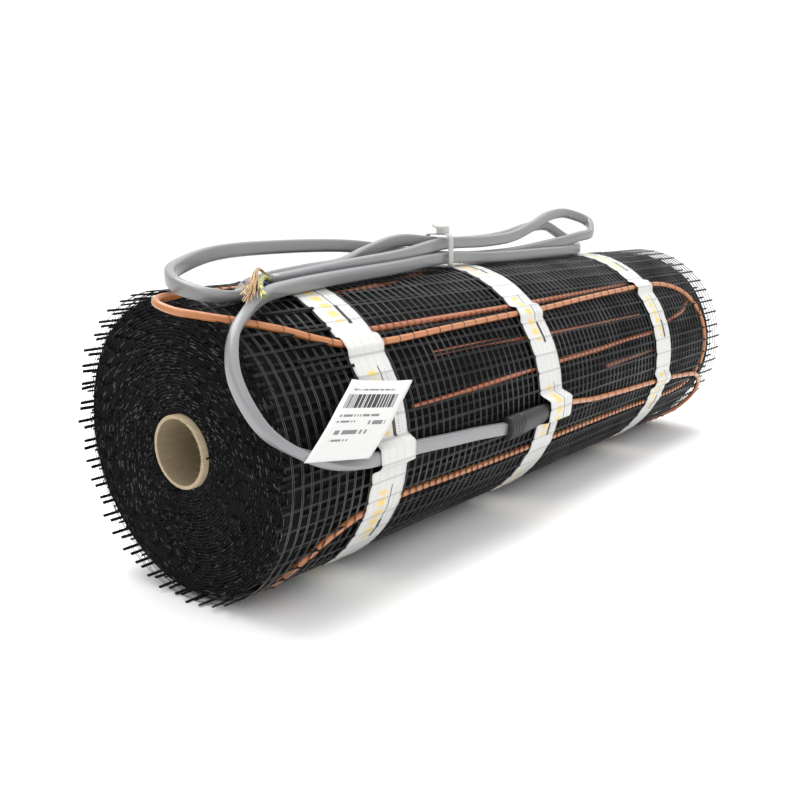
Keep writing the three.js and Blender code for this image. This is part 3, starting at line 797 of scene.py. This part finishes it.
def crossing_threads(route):
    """Threads of the net that pass over a cable: over all of a bedded stretch, and over each
    second pair's place on a stretch that lies on the net."""
    fine, broad = [], []
    offsets = (-3.6, -2.4, -1.7, -0.9, 0.0, 0.9, 1.7, 2.4, 3.6)

    def height_at(away, centre):
        rest = OUTER_NET + 0.35
        if abs(away) > 3:
            return rest
        if abs(away) > 1.9:
            return max(rest, centre + 0.3)
        return max(rest, centre + math.sqrt((CABLE_RADIUS + 0.25) ** 2 - away**2))

    for before, after in zip(route, route[1:]):
        x, turn, height = unrolled(before)
        next_x, next_turn, _ = unrolled(after)
        run = ROLL_RADIUS * math.remainder(next_turn - turn, 2 * math.pi)
        length = math.hypot(next_x - x, run)
        lengthwise, round_share = abs(next_x - x) / length, abs(run) / length
        cells = sorted((math.floor((x - WARP_FIRST) / WARP_PITCH),
                        math.floor((next_x - WARP_FIRST) / WARP_PITCH)))
        if cells[0] != cells[1] and lengthwise > 0.35 and abs(x) < 246:
            bedded = height < 0
            if bedded or cells[1] % 2 == 0:
                for side in ((-0.5, 0.5) if bedded else (0.5,)):
                    at = WARP_FIRST + WARP_PITCH * cells[1] + side * WARP_PAIR
                    fine.append([
                        on_roll(at, math.degrees(turn + away / lengthwise / ROLL_RADIUS),
                                height_at(away, height))
                        for away in offsets])
        pitch = 2 * math.pi / WEFT_COUNT
        rows = sorted((math.floor(turn / pitch - 0.5), math.floor(next_turn / pitch - 0.5)))
        if rows[1] - rows[0] == 1 and round_share > 0.45 and height < 0.1 and abs(x) < 243:
            angle = weft_angle(rows[1])
            broad.append([
                on_roll(x + away / round_share, angle, height_at(away, height))
                for away in offsets])
    return fine, broad


def tape_rise(turn, crossings, thickness):
    """How far a tape stands over the skin where it passes over cables, lead or joint."""
    rise = 0.1
    for angle, width, height in crossings:
        away = abs(math.remainder(turn - math.radians(angle), 2 * math.pi)) * ROLL_RADIUS
        shoulder = width / 2 + 0.3
        crest = height + 0.25
        share = 1 - smoothstep(shoulder, shoulder + TAPE_SLOPE * min(1, crest / 3 + 0.2), away)
        rise = max(rise, crest * share)
    pitch = 2 * math.pi / WEFT_COUNT
    from_weft = math.remainder(turn - pitch / 2, pitch) * ROLL_RADIUS
    return rise + 0.3 * math.exp(-((from_weft / 1.3) ** 2))


def tape_mesh(name, centre, printed_at, crossings, sizes, rng):
    """A tape round the roll. It follows the threads under it and rises over the cables."""
    bm = bmesh.new()
    thickness = sizes.tape_thickness
    radius = ROLL_RADIUS * MM
    width = sizes.tape_width
    start = Matrix.Translation((centre * MM - width / 2, 0, ROLL_RADIUS * MM))
    bmesh.ops.create_circle(
        bm, segments=TAPE_STEPS, radius=radius, matrix=start @ Matrix.Rotation(math.pi / 2, 4, "Y"))
    edges = bm.edges[:]
    for _lane in range(TAPE_LANES):
        made = bmesh.ops.extrude_edge_only(bm, edges=edges)["geom"]
        verts = [item for item in made if isinstance(item, bmesh.types.BMVert)]
        edges = [item for item in made if isinstance(item, bmesh.types.BMEdge) and item.is_boundary]
        bmesh.ops.translate(bm, vec=(width / TAPE_LANES, 0, 0), verts=verts)
    bmesh.ops.recalc_face_normals(bm, faces=bm.faces)
    bmesh.ops.solidify(bm, geom=bm.faces[:], thickness=-thickness)
    bmesh.ops.recalc_face_normals(bm, faces=bm.faces)
    drift = rng.uniform(0, 50)
    pitch = 2 * math.pi / WEFT_COUNT
    for vert in bm.verts:
        x, turn, height = unrolled(vert.co)
        across = (x - centre) / (width / MM)
        rise = tape_rise(turn, crossings, thickness)
        rise += 0.18 * noise_at(x * 0.12, math.cos(turn) * 9 + drift, math.sin(turn) * 9)
        scallop = 0.25 * math.cos(2 * math.pi * turn / pitch)
        scallop += 0.35 * noise_at(drift, math.cos(turn) * 14, math.sin(turn) * 14)
        place = on_roll(x + scallop * across * 1.4, math.degrees(turn), height + rise)
        place.z = max(place.z, 0.0001)
        vert.co = place
    for label in ("print", "weave"):
        bm.loops.layers.uv.new(label)
    printed, woven = bm.loops.layers.uv["print"], bm.loops.layers.uv["weave"]
    whole = PRINT_PITCH / ROLL_RADIUS
    for face in bm.faces:
        turns = [unrolled(loop.vert.co)[1] for loop in face.loops]
        split = max(turns) - min(turns) > math.pi
        for loop, turn in zip(face.loops, turns):
            if split and turn < 0:
                turn += 2 * math.pi
            x = unrolled(loop.vert.co)[0]
            along = (turn - printed_at / ROLL_RADIUS) / whole
            loop[printed].uv = (x - centre + width / MM / 2, along)
            loop[woven].uv = ((x - WARP_FIRST) / WARP_PITCH + 0.5, turn / pitch)
    return finished_mesh(name, bm)


def spiral_route(x, start_radius, end_radius, phase, steps, sway, drift):
    """A spiral thread on an end of the roll, from the outermost turn inwards."""
    route = []
    turns = (start_radius - end_radius) / TURN_PITCH
    count = int(turns * steps)
    for step in range(count + 1):
        turn = phase + step / steps * 360
        radius = start_radius - TURN_PITCH * step / steps
        radius += sway * noise_at(drift, math.cos(math.radians(turn)) * 4 + step * 0.01,
                                  math.sin(math.radians(turn)) * 4)
        lift = 0.8 * noise_at(step * 0.11, drift, 2.0)
        route.append(on_roll(x + lift, turn, radius - ROLL_RADIUS))
    return route


def stub_mesh(name, side, sizes, rng):
    """The cut ends of the flat threads of every turn, standing out of an end of the roll."""
    bm = bmesh.new()
    left = side < 0
    radius = ROLL_RADIUS - (2.0 if left else 5.5)
    root = side * ((CORE_LEFT if left else CORE_RIGHT) - 3)
    turn = 0.0
    while radius > 20.5:
        rim = left and radius > ROLL_RADIUS - 3.6
        angle = math.degrees(turn) + rng.uniform(-0.6, 0.6)
        height = radius - ROLL_RADIUS + rng.uniform(-0.3, 0.3)
        reach = rng.uniform(247.5, 249.8) if rim else rng.uniform(243.4, 246.4)
        tip = side * (reach if left else reach - 7.0)
        width = (1.5 if rim else rng.uniform(0.7, 1.1)) * MM
        size = Matrix.Diagonal((abs(tip - root) * MM, width, sizes.weft_thickness * 0.8, 1))
        lean = Matrix.Rotation(math.radians(rng.uniform(-3.5, 3.5)), 4, "Y")
        swing = Matrix.Rotation(math.radians(rng.uniform(-3, 3)), 4, "Z")
        place = around_roll((tip + root) / 2, angle, height)
        bmesh.ops.create_cube(bm, size=1, matrix=place @ lean @ swing @ size)
        step = WEFT_PITCH / radius
        turn += step
        radius -= TURN_PITCH * step / (2 * math.pi)
    return finished_mesh(name, bm, smooth=False)


def core_mesh():
    """The turns underneath as one dark body with its bore."""
    bm = bmesh.new()
    outer = (ROLL_RADIUS - CORE_DEPTH) * MM
    inner = 0.0181
    middle = ROLL_RADIUS * MM
    rows = [(-CORE_LEFT * MM, inner)]
    for side, half in ((-1, CORE_LEFT * MM), (1, CORE_RIGHT * MM)):
        rings = 12
        for ring in range(rings + 1):
            share = ring / rings if side < 0 else 1 - ring / rings
            radius = inner + (outer - inner) * share
            dip = 0.0015 if ring % 2 else 0.0
            rows.append((side * (half - dip), radius))
    rows.append((CORE_RIGHT * MM, inner))
    cleaned = [row for index, row in enumerate(rows) if index == 0 or row != rows[index - 1]]
    corners = [bm.verts.new((x, 0, middle + z)) for x, z in cleaned]
    edges = [bm.edges.new(pair) for pair in zip(corners, corners[1:] + corners[:1])]
    bmesh.ops.spin(
        bm, geom=corners + edges, cent=(0, 0, middle), axis=(1, 0, 0), angle=2 * math.pi,
        steps=96, use_merge=True)
    bmesh.ops.remove_doubles(bm, verts=bm.verts, dist=1e-6)
    return finished_mesh("net_core", bm, smooth=False)


def lead_frames():
    """The lead's centreline and the frames of its flat section along it."""
    rows = [(on_roll(x, angle, height), edge) for x, angle, height, edge in LEAD_ON_ROLL]
    rows += [(over_top(x, y, height), edge) for x, y, height, edge in LEAD_IN_HANK]
    line = smooth_route([place for place, _edge in rows], LEAD_STEPS)
    axis = Vector((0, 0, ROLL_RADIUS * MM))
    frames = []
    for index, place in enumerate(line):
        span = min(index // LEAD_STEPS, len(rows) - 2)
        share = index / LEAD_STEPS - span
        edge = rows[span][1] * (1 - share) + rows[span + 1][1] * share
        along = (line[min(index + 1, len(line) - 1)] - line[max(index - 1, 0)]).normalized()
        outward = place - axis
        outward.x = 0
        sideways = outward.cross(along).normalized()
        upright = along.cross(sideways).normalized()
        turn = edge * math.pi / 2
        broad = (sideways * math.cos(turn) + upright * math.sin(turn)).normalized()
        thin = along.cross(broad)
        turned = Matrix((broad, thin, along)).transposed()
        frames.append(Matrix.Translation(place) @ turned.to_4x4())
    return line, frames


class HEATINGMAT_OT_stage(bpy.types.Operator):
    """Make the floor, the light and the camera"""

    bl_idname = "heating_mat.stage"
    bl_label = "Stage"

    def execute(self, context):
        scene = context.scene
        bm = bmesh.new()
        bmesh.ops.create_grid(bm, x_segments=1, y_segments=1, size=6)
        mesh = finished_mesh("floor", bm, smooth=False)
        floor = bpy.data.objects.new("floor", mesh)
        scene.collection.objects.link(floor)
        floor_finish, _nodes, _inputs = new_material("Pale floor", (0.94, 0.94, 0.94), 0.9)
        mesh.materials.append(floor_finish)
        world = bpy.data.worlds.new("Studio")
        world.use_nodes = True
        nodes = Nodes(world.node_tree)
        backdrop = world.node_tree.nodes["Background"]
        backdrop.inputs["Color"].default_value = (1, 1, 1, 1)
        way = nodes.add("ShaderNodeSeparateXYZ")
        nodes.feed(way.inputs[0], nodes.add("ShaderNodeTexCoord").outputs["Generated"])
        sky = nodes.add("ShaderNodeMapRange")
        for label, value in (
            ("Value", way.outputs["Z"]), ("From Min", 0.0), ("From Max", 1.0), ("To Min", 0.85),
            ("To Max", 1.25),
        ):
            nodes.feed(sky.inputs[label], value)
        seen = nodes.add("ShaderNodeLightPath").outputs["Is Camera Ray"]
        nodes.feed(
            backdrop.inputs["Strength"], nodes.math("MAXIMUM", sky.outputs["Result"], seen))
        scene.world = world
        for name, place, size, power in (
            ("key_light", (-0.8, -1.3, 1.3), 1.2, 6),
            ("top_light", (0.1, 0.25, 1.7), 1.5, 30),
        ):
            data = bpy.data.lights.new(name, "AREA")
            data.shape = "DISK"
            data.size = size
            data.energy = power
            light = bpy.data.objects.new(name, data)
            light.location = place
            aim = Vector((0, 0, 0.08)) - Vector(place)
            light.rotation_euler = aim.to_track_quat("-Z", "Y").to_euler()
            scene.collection.objects.link(light)
        data = bpy.data.cameras.new("camera")
        data.sensor_width = 36
        data.lens = CAMERA_LENS
        data.shift_x, data.shift_y = CAMERA_SHIFT
        data.clip_start = 0.02
        camera = bpy.data.objects.new("camera", data)
        camera.location = CAMERA_PLACE
        ahead = Vector((
            math.sin(CAMERA_YAW) * math.cos(CAMERA_PITCH),
            math.cos(CAMERA_YAW) * math.cos(CAMERA_PITCH),
            -math.sin(CAMERA_PITCH),
        ))
        camera.rotation_euler = ahead.to_track_quat("-Z", "Y").to_euler()
        scene.collection.objects.link(camera)
        scene.camera = camera
        scene.view_settings.view_transform = "Standard"
        return {"FINISHED"}


class HEATINGMAT_OT_stripped_end(bpy.types.Operator):
    """Make the conductors and the loose copper strands at the end of the lead"""

    bl_idname = "heating_mat.stripped_end"
    bl_label = "Stripped end"

    def execute(self, context):
        rng = random.Random(SEED)
        earth = smooth_route([over_top(*row) for row in EARTH_ROUTE], 8)
        place_piece(
            "earth_conductor", round_lines("earth_conductor", [earth], 1.2 * MM, 4),
            earth_material(), ["conductor_earth"])
        neutral = smooth_route([over_top(*row) for row in NEUTRAL_ROUTE], 8)
        place_piece(
            "neutral_conductor", round_lines("neutral_conductor", [neutral], 0.9 * MM, 4),
            plain_material("Neutral insulation", (0.06, 0.08, 0.3), 0.35),
            ["conductor_neutral"])
        strands = []
        for _strand in range(STRAND_COUNT):
            spread = Vector((rng.uniform(-1, 1), rng.uniform(-1, 1), rng.uniform(-1, 1)))
            places = [over_top(*row) for row in SCREEN_ROUTE]
            tip = over_top(*STRAND_TIPS) + spread * 4.2 * MM
            places = [
                places[0] + spread * 0.5 * MM, places[1] + spread * 0.6 * MM,
                places[2] + spread * 0.8 * MM, places[3] + spread * 1.9 * MM,
                places[3].lerp(tip, rng.uniform(0.55, 1.0)) + spread * 0.5 * MM,
            ]
            strands.append(smooth_route(places, 5))
        copper, _nodes, _inputs = new_material(
            "Copper strands", (0.80, 0.60, 0.36), 0.28, Metallic=1.0)
        place_piece(
            "copper_strands", round_lines("copper_strands", strands, 0.17 * MM, 0),
            copper, ["screen_strands"])
        return {"FINISHED"}


class HEATINGMAT_OT_flag_label(bpy.types.Operator):
    """Make the flag label on the lead"""

    bl_idname = "heating_mat.flag_label"
    bl_label = "Flag label"

    def execute(self, context):
        sizes = context.scene.heating_mat_sizes
        bm = bmesh.new()
        bm.loops.layers.uv.new("print")
        bmesh.ops.create_grid(bm, x_segments=16, y_segments=24, size=0.5, calc_uvs=True)
        bmesh.ops.solidify(bm, geom=bm.faces[:], thickness=0.0003 / sizes.label_width)
        for vert in bm.verts:
            share = vert.co.y + 0.5
            up = share * sizes.label_height / MM
            across = vert.co.x * sizes.label_width / MM
            curl = 1.6 * smoothstep(0.25, 0.5, abs(vert.co.x)) * smoothstep(0.6, 1.0, share)
            lift = LABEL_FOOT[2] + (LABEL_TOP_HEIGHT - LABEL_FOOT[2]) * share + curl
            lift += 1.2 * math.sin(share * math.pi) + vert.co.z * sizes.label_width / MM
            vert.co = on_roll(
                LABEL_FOOT[0] + across + LABEL_SLANT[0] * up,
                LABEL_FOOT[1] + LABEL_TILT * across + LABEL_SLANT[1] * up, lift)
        mesh = finished_mesh("lead_label", bm)
        place_piece("lead_label", mesh, label_material(), ["flag_label"])
        return {"FINISHED"}


class HEATINGMAT_OT_cable_tie(bpy.types.Operator):
    """Make the clear tie round the hank"""

    bl_idname = "heating_mat.cable_tie"
    bl_label = "Cable tie"

    def execute(self, context):
        corners = []
        middle_y, middle_z = (TIE_NEAR + TIE_FAR) / 2, (TIE_LOW + TIE_HIGH) / 2
        half_y, half_z = (TIE_FAR - TIE_NEAR) / 2, (TIE_HIGH - TIE_LOW) / 2
        for y, z in rounded_section(2 * half_y, 2 * half_z, TIE_CORNER, 6):
            corners.append(over_top(TIE_X, middle_y + y, middle_z + z))
        frames = []
        count = len(corners)
        for index in range(count + 1):
            place = corners[index % count]
            along = (corners[(index + 1) % count] - corners[(index - 1) % count]).normalized()
            wide = Vector((1, 0, 0))
            turned = Matrix((wide, along.cross(wide), along)).transposed()
            frames.append(Matrix.Translation(place) @ turned.to_4x4())
        section = rounded_section(4.2 * MM, 0.9 * MM, 0.3 * MM, 2)
        band = swept_mesh("tie_band", section, frames, closed=True)
        bm = bmesh.new()
        bm.from_mesh(band)
        lock_place = over_top(TIE_X, TIE_NEAR + 6, TIE_HIGH + 2.2)
        lock = bmesh.ops.create_cube(
            bm, size=1,
            matrix=Matrix.Translation(lock_place) @ Matrix.Diagonal((0.0056, 0.0058, 0.0046, 1)))
        tail_place = over_top(TIE_X, TIE_NEAR + 8.6, TIE_HIGH + 3.2)
        lean = Matrix.Rotation(math.radians(24), 4, "X")
        tail = bmesh.ops.create_cube(
            bm, size=1,
            matrix=Matrix.Translation(tail_place) @ lean @ Matrix.Diagonal((0.0038, 0.009, 0.0011, 1)))
        solid = {edge for vert in lock["verts"] + tail["verts"] for edge in vert.link_edges}
        bmesh.ops.bevel(
            bm, geom=list(solid), offset=0.0004, affect="EDGES", segments=2, profile=0.5,
            material=-1)
        mesh = finished_mesh("tie", bm)
        clear = plain_material(
            "Clear nylon", (0.6, 0.6, 0.58), 0.35, Transmission_Weight=0.4, IOR=1.5)
        place_piece("tie", mesh, clear, ["cable_tie"])
        return {"FINISHED"}


class HEATINGMAT_OT_cold_lead(bpy.types.Operator):
    """Make the flat cold lead from the joint to its stripped end"""

    bl_idname = "heating_mat.cold_lead"
    bl_label = "Cold lead"

    def execute(self, context):
        sizes = context.scene.heating_mat_sizes
        line, frames = lead_frames()
        section = rounded_section(sizes.lead_width, sizes.lead_thickness, 1.5 * MM, 4)
        mesh = swept_mesh("lead", section, frames)
        grey = plain_material(
            "Grey sheath", context.scene.heating_mat_colours.lead, 0.4, Coat_Weight=0.4,
            Coat_Roughness=0.15)
        lead = place_piece("lead", mesh, grey, ["cold_lead"])
        return {"FINISHED"}


class HEATINGMAT_OT_heating_cable(bpy.types.Operator):
    """Make the heating cable on the outermost turn and what shows of it underneath"""

    bl_idname = "heating_mat.heating_cable"
    bl_label = "Heating cable"

    def execute(self, context):
        colour = context.scene.heating_mat_colours.cable
        finish = cable_material(tuple(colour))
        crossing = [[], []]
        for name, rows, node in (
            ("cable_outer_turn", OUTER_TURN, "heating_cable_outer_turn"),
            ("cable_first_run", FIRST_RUN, "heating_cable_first_run"),
        ):
            line = smooth_route([on_roll(*row) for row in rows], 10)
            mesh = round_lines(name, [line], CABLE_RADIUS * MM, 4)
            place_piece(name, mesh, finish, [node])
            close = smooth_route([on_roll(*row) for row in rows], 160)
            for held, found in zip(crossing, crossing_threads(close)):
                held.extend(found)
        inner = [smooth_route([on_roll(*row) for row in rows], 10) for rows in INNER_RUNS]
        # Painted shade: the runs underneath take a darker, redder copy of the cable's colour, red at
        # 0.9 and green and blue at 0.7 times.
        redder = (colour[0] * 0.9, colour[1] * 0.7, colour[2] * 0.7)
        place_piece(
            "cable_inner_runs", round_lines("cable_inner_runs", inner, CABLE_RADIUS * MM, 3),
            cable_material(redder, "Shaded cable underneath"))
        colours = context.scene.heating_mat_colours
        place_piece(
            "threads_over_cable", round_lines("threads_over_cable", crossing[0], 0.15 * MM, 0),
            net_material(tuple(colours.net)))
        place_piece(
            "wefts_over_cable", round_lines("wefts_over_cable", crossing[1], 0.4 * MM, 0),
            net_material(tuple(colours.net)))
        return {"FINISHED"}


class HEATINGMAT_OT_net(bpy.types.Operator):
    """Make the net's outermost two turns and the dark turns underneath"""

    bl_idname = "heating_mat.net"
    bl_label = "Net"

    def execute(self, context):
        sizes = context.scene.heating_mat_sizes
        colours = context.scene.heating_mat_colours
        rng = random.Random(SEED + 1)
        black = net_material(tuple(colours.net))
        glassy = thread_material(tuple(colours.thread))
        half = sizes.warp_diameter / 2
        round_thread = [(half, 0), (0, half), (-half, 0), (0, -half)]
        place_piece(
            "outer_wefts", weft_mesh("outer_wefts", sizes, OUTER_NET, 0.0, HALF_WIDTH, rng),
            black, ["mat_roll"])
        ring = ring_mesh("ring", round_thread, OUTER_NET + 0.3)
        warps = warp_mesh(
            "outer_warps", ring, (-WARP_PAIR / 2, WARP_PAIR / 2), 0.0, WARP_COUNT)
        place_piece("outer_warps", warps, glassy)
        # Painted shade: the second turn's flat threads take the net's colour at half strength, so the
        # depth under the outer turn looks dark.
        place_piece(
            "second_wefts", weft_mesh("second_wefts", sizes, SECOND_NET, 0.45, 238.0, rng),
            net_material(tuple(value * 0.5 for value in colours.net), "Shaded inner net", 0.12))
        flat_thread = [(0.0004, 0), (0, 0.00012), (-0.0004, 0), (0, -0.00012)]
        ring = ring_mesh("ring", flat_thread, SECOND_NET + 0.4)
        warps = warp_mesh("second_warps", ring, (0.0,), 7.9, WARP_COUNT - 4)
        # Painted shade: the second turn's threads take 0.4 times the thread colour, with less gloss.
        duller = thread_material(
            tuple(value * 0.4 for value in colours.thread), "Shaded inner thread", 0.2)
        place_piece("second_warps", warps, duller)
        dark, _nodes, _inputs = new_material(
            "Inner turns", (0.003, 0.003, 0.0032), 0.8, Specular_IOR_Level=0.15)
        place_piece("net_core", core_mesh(), dark)
        return {"FINISHED"}


class HEATINGMAT_OT_net_ends(bpy.types.Operator):
    """Make the thread ends and the wound edges on both ends of the roll"""

    bl_idname = "heating_mat.net_ends"
    bl_label = "Net ends"

    def execute(self, context):
        sizes = context.scene.heating_mat_sizes
        colours = context.scene.heating_mat_colours
        black = net_material(tuple(colours.net))
        glassy = thread_material(tuple(colours.thread))
        for side, word in ((-1, "left"), (1, "right")):
            rng = random.Random(SEED + 10 + side)
            name = f"thread_ends_{word}"
            place_piece(name, stub_mesh(name, side, sizes, rng), black)
            rest = -CORE_LEFT if side < 0 else CORE_RIGHT
            start = ROLL_RADIUS - (1.6 if side < 0 else 5.5)
            route = spiral_route(rest + side * 0.9, start, 20.5, 0, 52, 0.5, rest)
            name = f"wound_edges_{word}"
            place_piece(
                name, round_lines(name, [route], sizes.warp_diameter * 0.6, 0), black)
            # Short bits of thread strewn over the end in the glassy thread material: painted glints of
            # the wound threads.
            glint_flecks = []
            for _fleck in range(FLECK_COUNT):
                turn, length = rng.uniform(0, 360), rng.uniform(0.4, 1.8)
                height = -rng.uniform(ROLL_RADIUS - start + 0.5, ROLL_RADIUS - 20.5)
                at = rest + side * rng.uniform(0.6, 2.0)
                glint_flecks.append([
                    on_roll(at + side * 0.3 * step, turn + length * step, height)
                    for step in range(3)])
            name = f"bright_threads_{word}"
            place_piece(
                name, round_lines(name, glint_flecks, sizes.warp_diameter * 0.5, 0), glassy)
        return {"FINISHED"}


class HEATINGMAT_OT_tube(bpy.types.Operator):
    """Make the cardboard tube with its worn rims"""

    bl_idname = "heating_mat.tube"
    bl_label = "Cardboard tube"

    def execute(self, context):
        sizes = context.scene.heating_mat_sizes
        rng = random.Random(SEED + 2)
        bm = bmesh.new()
        middle = ROLL_RADIUS * MM
        outer, inner = sizes.tube_radius, sizes.tube_radius - sizes.tube_wall
        half = sizes.tube_length / 2
        soft = 0.0004
        rows = []
        for side in (-1, 1):
            lanes = [
                (half - soft, inner), (half, inner + soft), (half, (inner + outer) / 2),
                (half, outer - soft), (half - soft, outer),
            ]
            lanes = lanes if side < 0 else lanes[::-1]
            rows += [(side * x, radius) for x, radius in lanes]
        corners = [bm.verts.new((x, 0, middle + radius)) for x, radius in rows]
        edges = [bm.edges.new(pair) for pair in zip(corners, corners[1:] + corners[:1])]
        bmesh.ops.spin(
            bm, geom=corners + edges, cent=(0, 0, middle), axis=(1, 0, 0), angle=2 * math.pi,
            steps=144, use_merge=True)
        bmesh.ops.remove_doubles(bm, verts=bm.verts, dist=1e-6)
        for vert in bm.verts:
            worn = noise_at(vert.co.y * 900, vert.co.z * 900, vert.co.x * 9)
            vert.co.x -= math.copysign(0.0005 * abs(worn), vert.co.x)
        finish = cardboard_material(tuple(context.scene.heating_mat_colours.cardboard))
        place_piece(
            "tube", finished_mesh("tube", bm), finish, ["cardboard_tube"])
        fibres = []
        for _fibre in range(90):
            side = rng.choice((-1, 1))
            turn = math.radians(rng.gauss(20, 45))
            radius = rng.uniform(inner + 0.0002, outer)
            start = Vector((
                side * (half - 0.0003), -radius * math.cos(turn), middle + radius * math.sin(turn)))
            way = Vector((side * rng.uniform(0.3, 1.6), rng.uniform(-1.6, 1.6), rng.uniform(-1.6, 1.6)))
            fibres.append([start, start + way * 0.4 * MM, start + way * 1.1 * MM])
        place_piece(
            "tube_fibres", round_lines("tube_fibres", fibres, 0.00016, 0, tapered=True), finish)
        return {"FINISHED"}


class HEATINGMAT_OT_tapes(bpy.types.Operator):
    """Make the three tapes that hold the cable on the net"""

    bl_idname = "heating_mat.tapes"
    bl_label = "Tapes"

    def execute(self, context):
        sizes = context.scene.heating_mat_sizes
        colours = context.scene.heating_mat_colours
        rng = random.Random(SEED + 3)
        white = tape_material("White tape", tuple(colours.tape), tuple(colours.ink))
        for node, centre, printed_at, crossings in TAPES:
            name = f"{node}_band"
            mesh = tape_mesh(name, centre, printed_at, crossings, sizes, rng)
            place_piece(name, mesh, white, [node])
        bm = bmesh.new()
        for angle in (32.1, 37.0, 42.3, 47.9, 58.7):
            add_ribbon(
                bm, -226, rng.uniform(-195, -191), angle, 0.9, sizes.weft_width,
                sizes.weft_thickness)
        place_piece(
            "thread_ends_on_tape", finished_mesh("thread_ends_on_tape", bm, smooth=False),
            net_material(tuple(colours.net)))
        return {"FINISHED"}


class HEATINGMAT_OT_joint(bpy.types.Operator):
    """Make the black joint between the heating cable and the cold lead"""

    bl_idname = "heating_mat.joint"
    bl_label = "Joint"

    def execute(self, context):
        width, thickness, tip = 14.0, 9.0, 8.4
        start = on_roll(*JOINT_START, thickness / 2 + 0.3)
        end = on_roll(*JOINT_END)
        length = (end - start).length / MM
        wide = width / 2
        rows = [(0.0, 0.0), (wide - 1.4, 0.0)]
        for rib in range(JOINT_RIBS):
            low = rib * JOINT_RIB_PITCH
            rows += [(wide - 0.5, low + 0.2), (wide, low + 0.7), (wide, low + 1.5),
                     (wide - 0.5, low + 1.9), (wide - 1.3, low + 2.2), (wide - 1.3, low + 3.0)]
        ribs_end = JOINT_RIBS * JOINT_RIB_PITCH
        rows += [
            (wide - 0.6, ribs_end + 0.4), (wide - 0.4, ribs_end + 1.6), (wide - 0.5, length * 0.35),
            (wide - 1.0, length * 0.5), (tip / 2 + 0.8, length * 0.66), (tip / 2, length * 0.78),
            (tip / 2 - 0.3, length * 0.97), (tip / 2 - 1.1, length), (0.0, length),
        ]
        bm = bmesh.new()
        corners = [bm.verts.new((x * MM, y * MM, 0)) for x, y in rows]
        edges = [bm.edges.new(pair) for pair in zip(corners, corners[1:])]
        bmesh.ops.spin(
            bm, geom=corners + edges, cent=(0, 0, 0), axis=(0, 1, 0), angle=2 * math.pi, steps=48,
            use_merge=True)
        bmesh.ops.remove_doubles(bm, verts=bm.verts, dist=1e-6)
        bmesh.ops.scale(bm, vec=(1, 1, thickness / width), verts=bm.verts)
        along = (end - start).normalized()
        outward = (on_roll(0, JOINT_START[1], 0) - on_roll(0, 0, -ROLL_RADIUS)).normalized()
        across = along.cross(outward).normalized()
        turned = Matrix((across, along, across.cross(along))).transposed()
        bmesh.ops.transform(
            bm, matrix=Matrix.Translation(start) @ turned.to_4x4(), verts=bm.verts)
        black = plain_material("Black joint", (0.014, 0.014, 0.015), 0.5)
        place_piece("joint_sleeve", finished_mesh("joint_sleeve", bm), black,
                    ["cable_joint"])
        return {"FINISHED"}


class HEATINGMAT_PT_panel(bpy.types.Panel):
    """Lists the pieces of the heating mat"""

    bl_idname = "HEATINGMAT_PT_panel"
    bl_label = "Underfloor heating mat"
    bl_space_type = "VIEW_3D"
    bl_region_type = "UI"
    bl_category = "Heating mat"

    def draw(self, context):
        for operator in OPERATORS:
            self.layout.operator(operator.bl_idname)
        for group in (context.scene.heating_mat_sizes, context.scene.heating_mat_colours):
            for name in type(group).__annotations__:
                self.layout.prop(group, name)


OPERATORS = (
    HEATINGMAT_OT_stage,
    HEATINGMAT_OT_stripped_end,
    HEATINGMAT_OT_flag_label,
    HEATINGMAT_OT_cable_tie,
    HEATINGMAT_OT_cold_lead,
    HEATINGMAT_OT_heating_cable,
    HEATINGMAT_OT_net,
    HEATINGMAT_OT_net_ends,
    HEATINGMAT_OT_tube,
    HEATINGMAT_OT_tapes,
    HEATINGMAT_OT_joint,
)
CLASSES = (HeatingMatSizes, HeatingMatColours, *OPERATORS, HEATINGMAT_PT_panel)


def register():
    """Adds the classes and the settings to Blender."""
    for item in CLASSES:
        bpy.utils.register_class(item)
    bpy.types.Scene.heating_mat_sizes = bpy.props.PointerProperty(type=HeatingMatSizes)
    bpy.types.Scene.heating_mat_colours = bpy.props.PointerProperty(type=HeatingMatColours)


def unregister():
    """Takes the settings and the classes out of Blender."""
    del bpy.types.Scene.heating_mat_colours
    del bpy.types.Scene.heating_mat_sizes
    for item in reversed(CLASSES):
        bpy.utils.unregister_class(item)


def main():
    """Makes every piece."""
    register()
    bpy.ops.heating_mat.stage()
    bpy.ops.heating_mat.stripped_end()
    bpy.ops.heating_mat.flag_label()
    bpy.ops.heating_mat.cable_tie()
    bpy.ops.heating_mat.cold_lead()
    bpy.ops.heating_mat.heating_cable()
    bpy.ops.heating_mat.net()
    bpy.ops.heating_mat.net_ends()
    bpy.ops.heating_mat.tube()
    bpy.ops.heating_mat.tapes()
    bpy.ops.heating_mat.joint()
    bpy.context.view_layer.update()


if __name__ == "__main__":
    main()
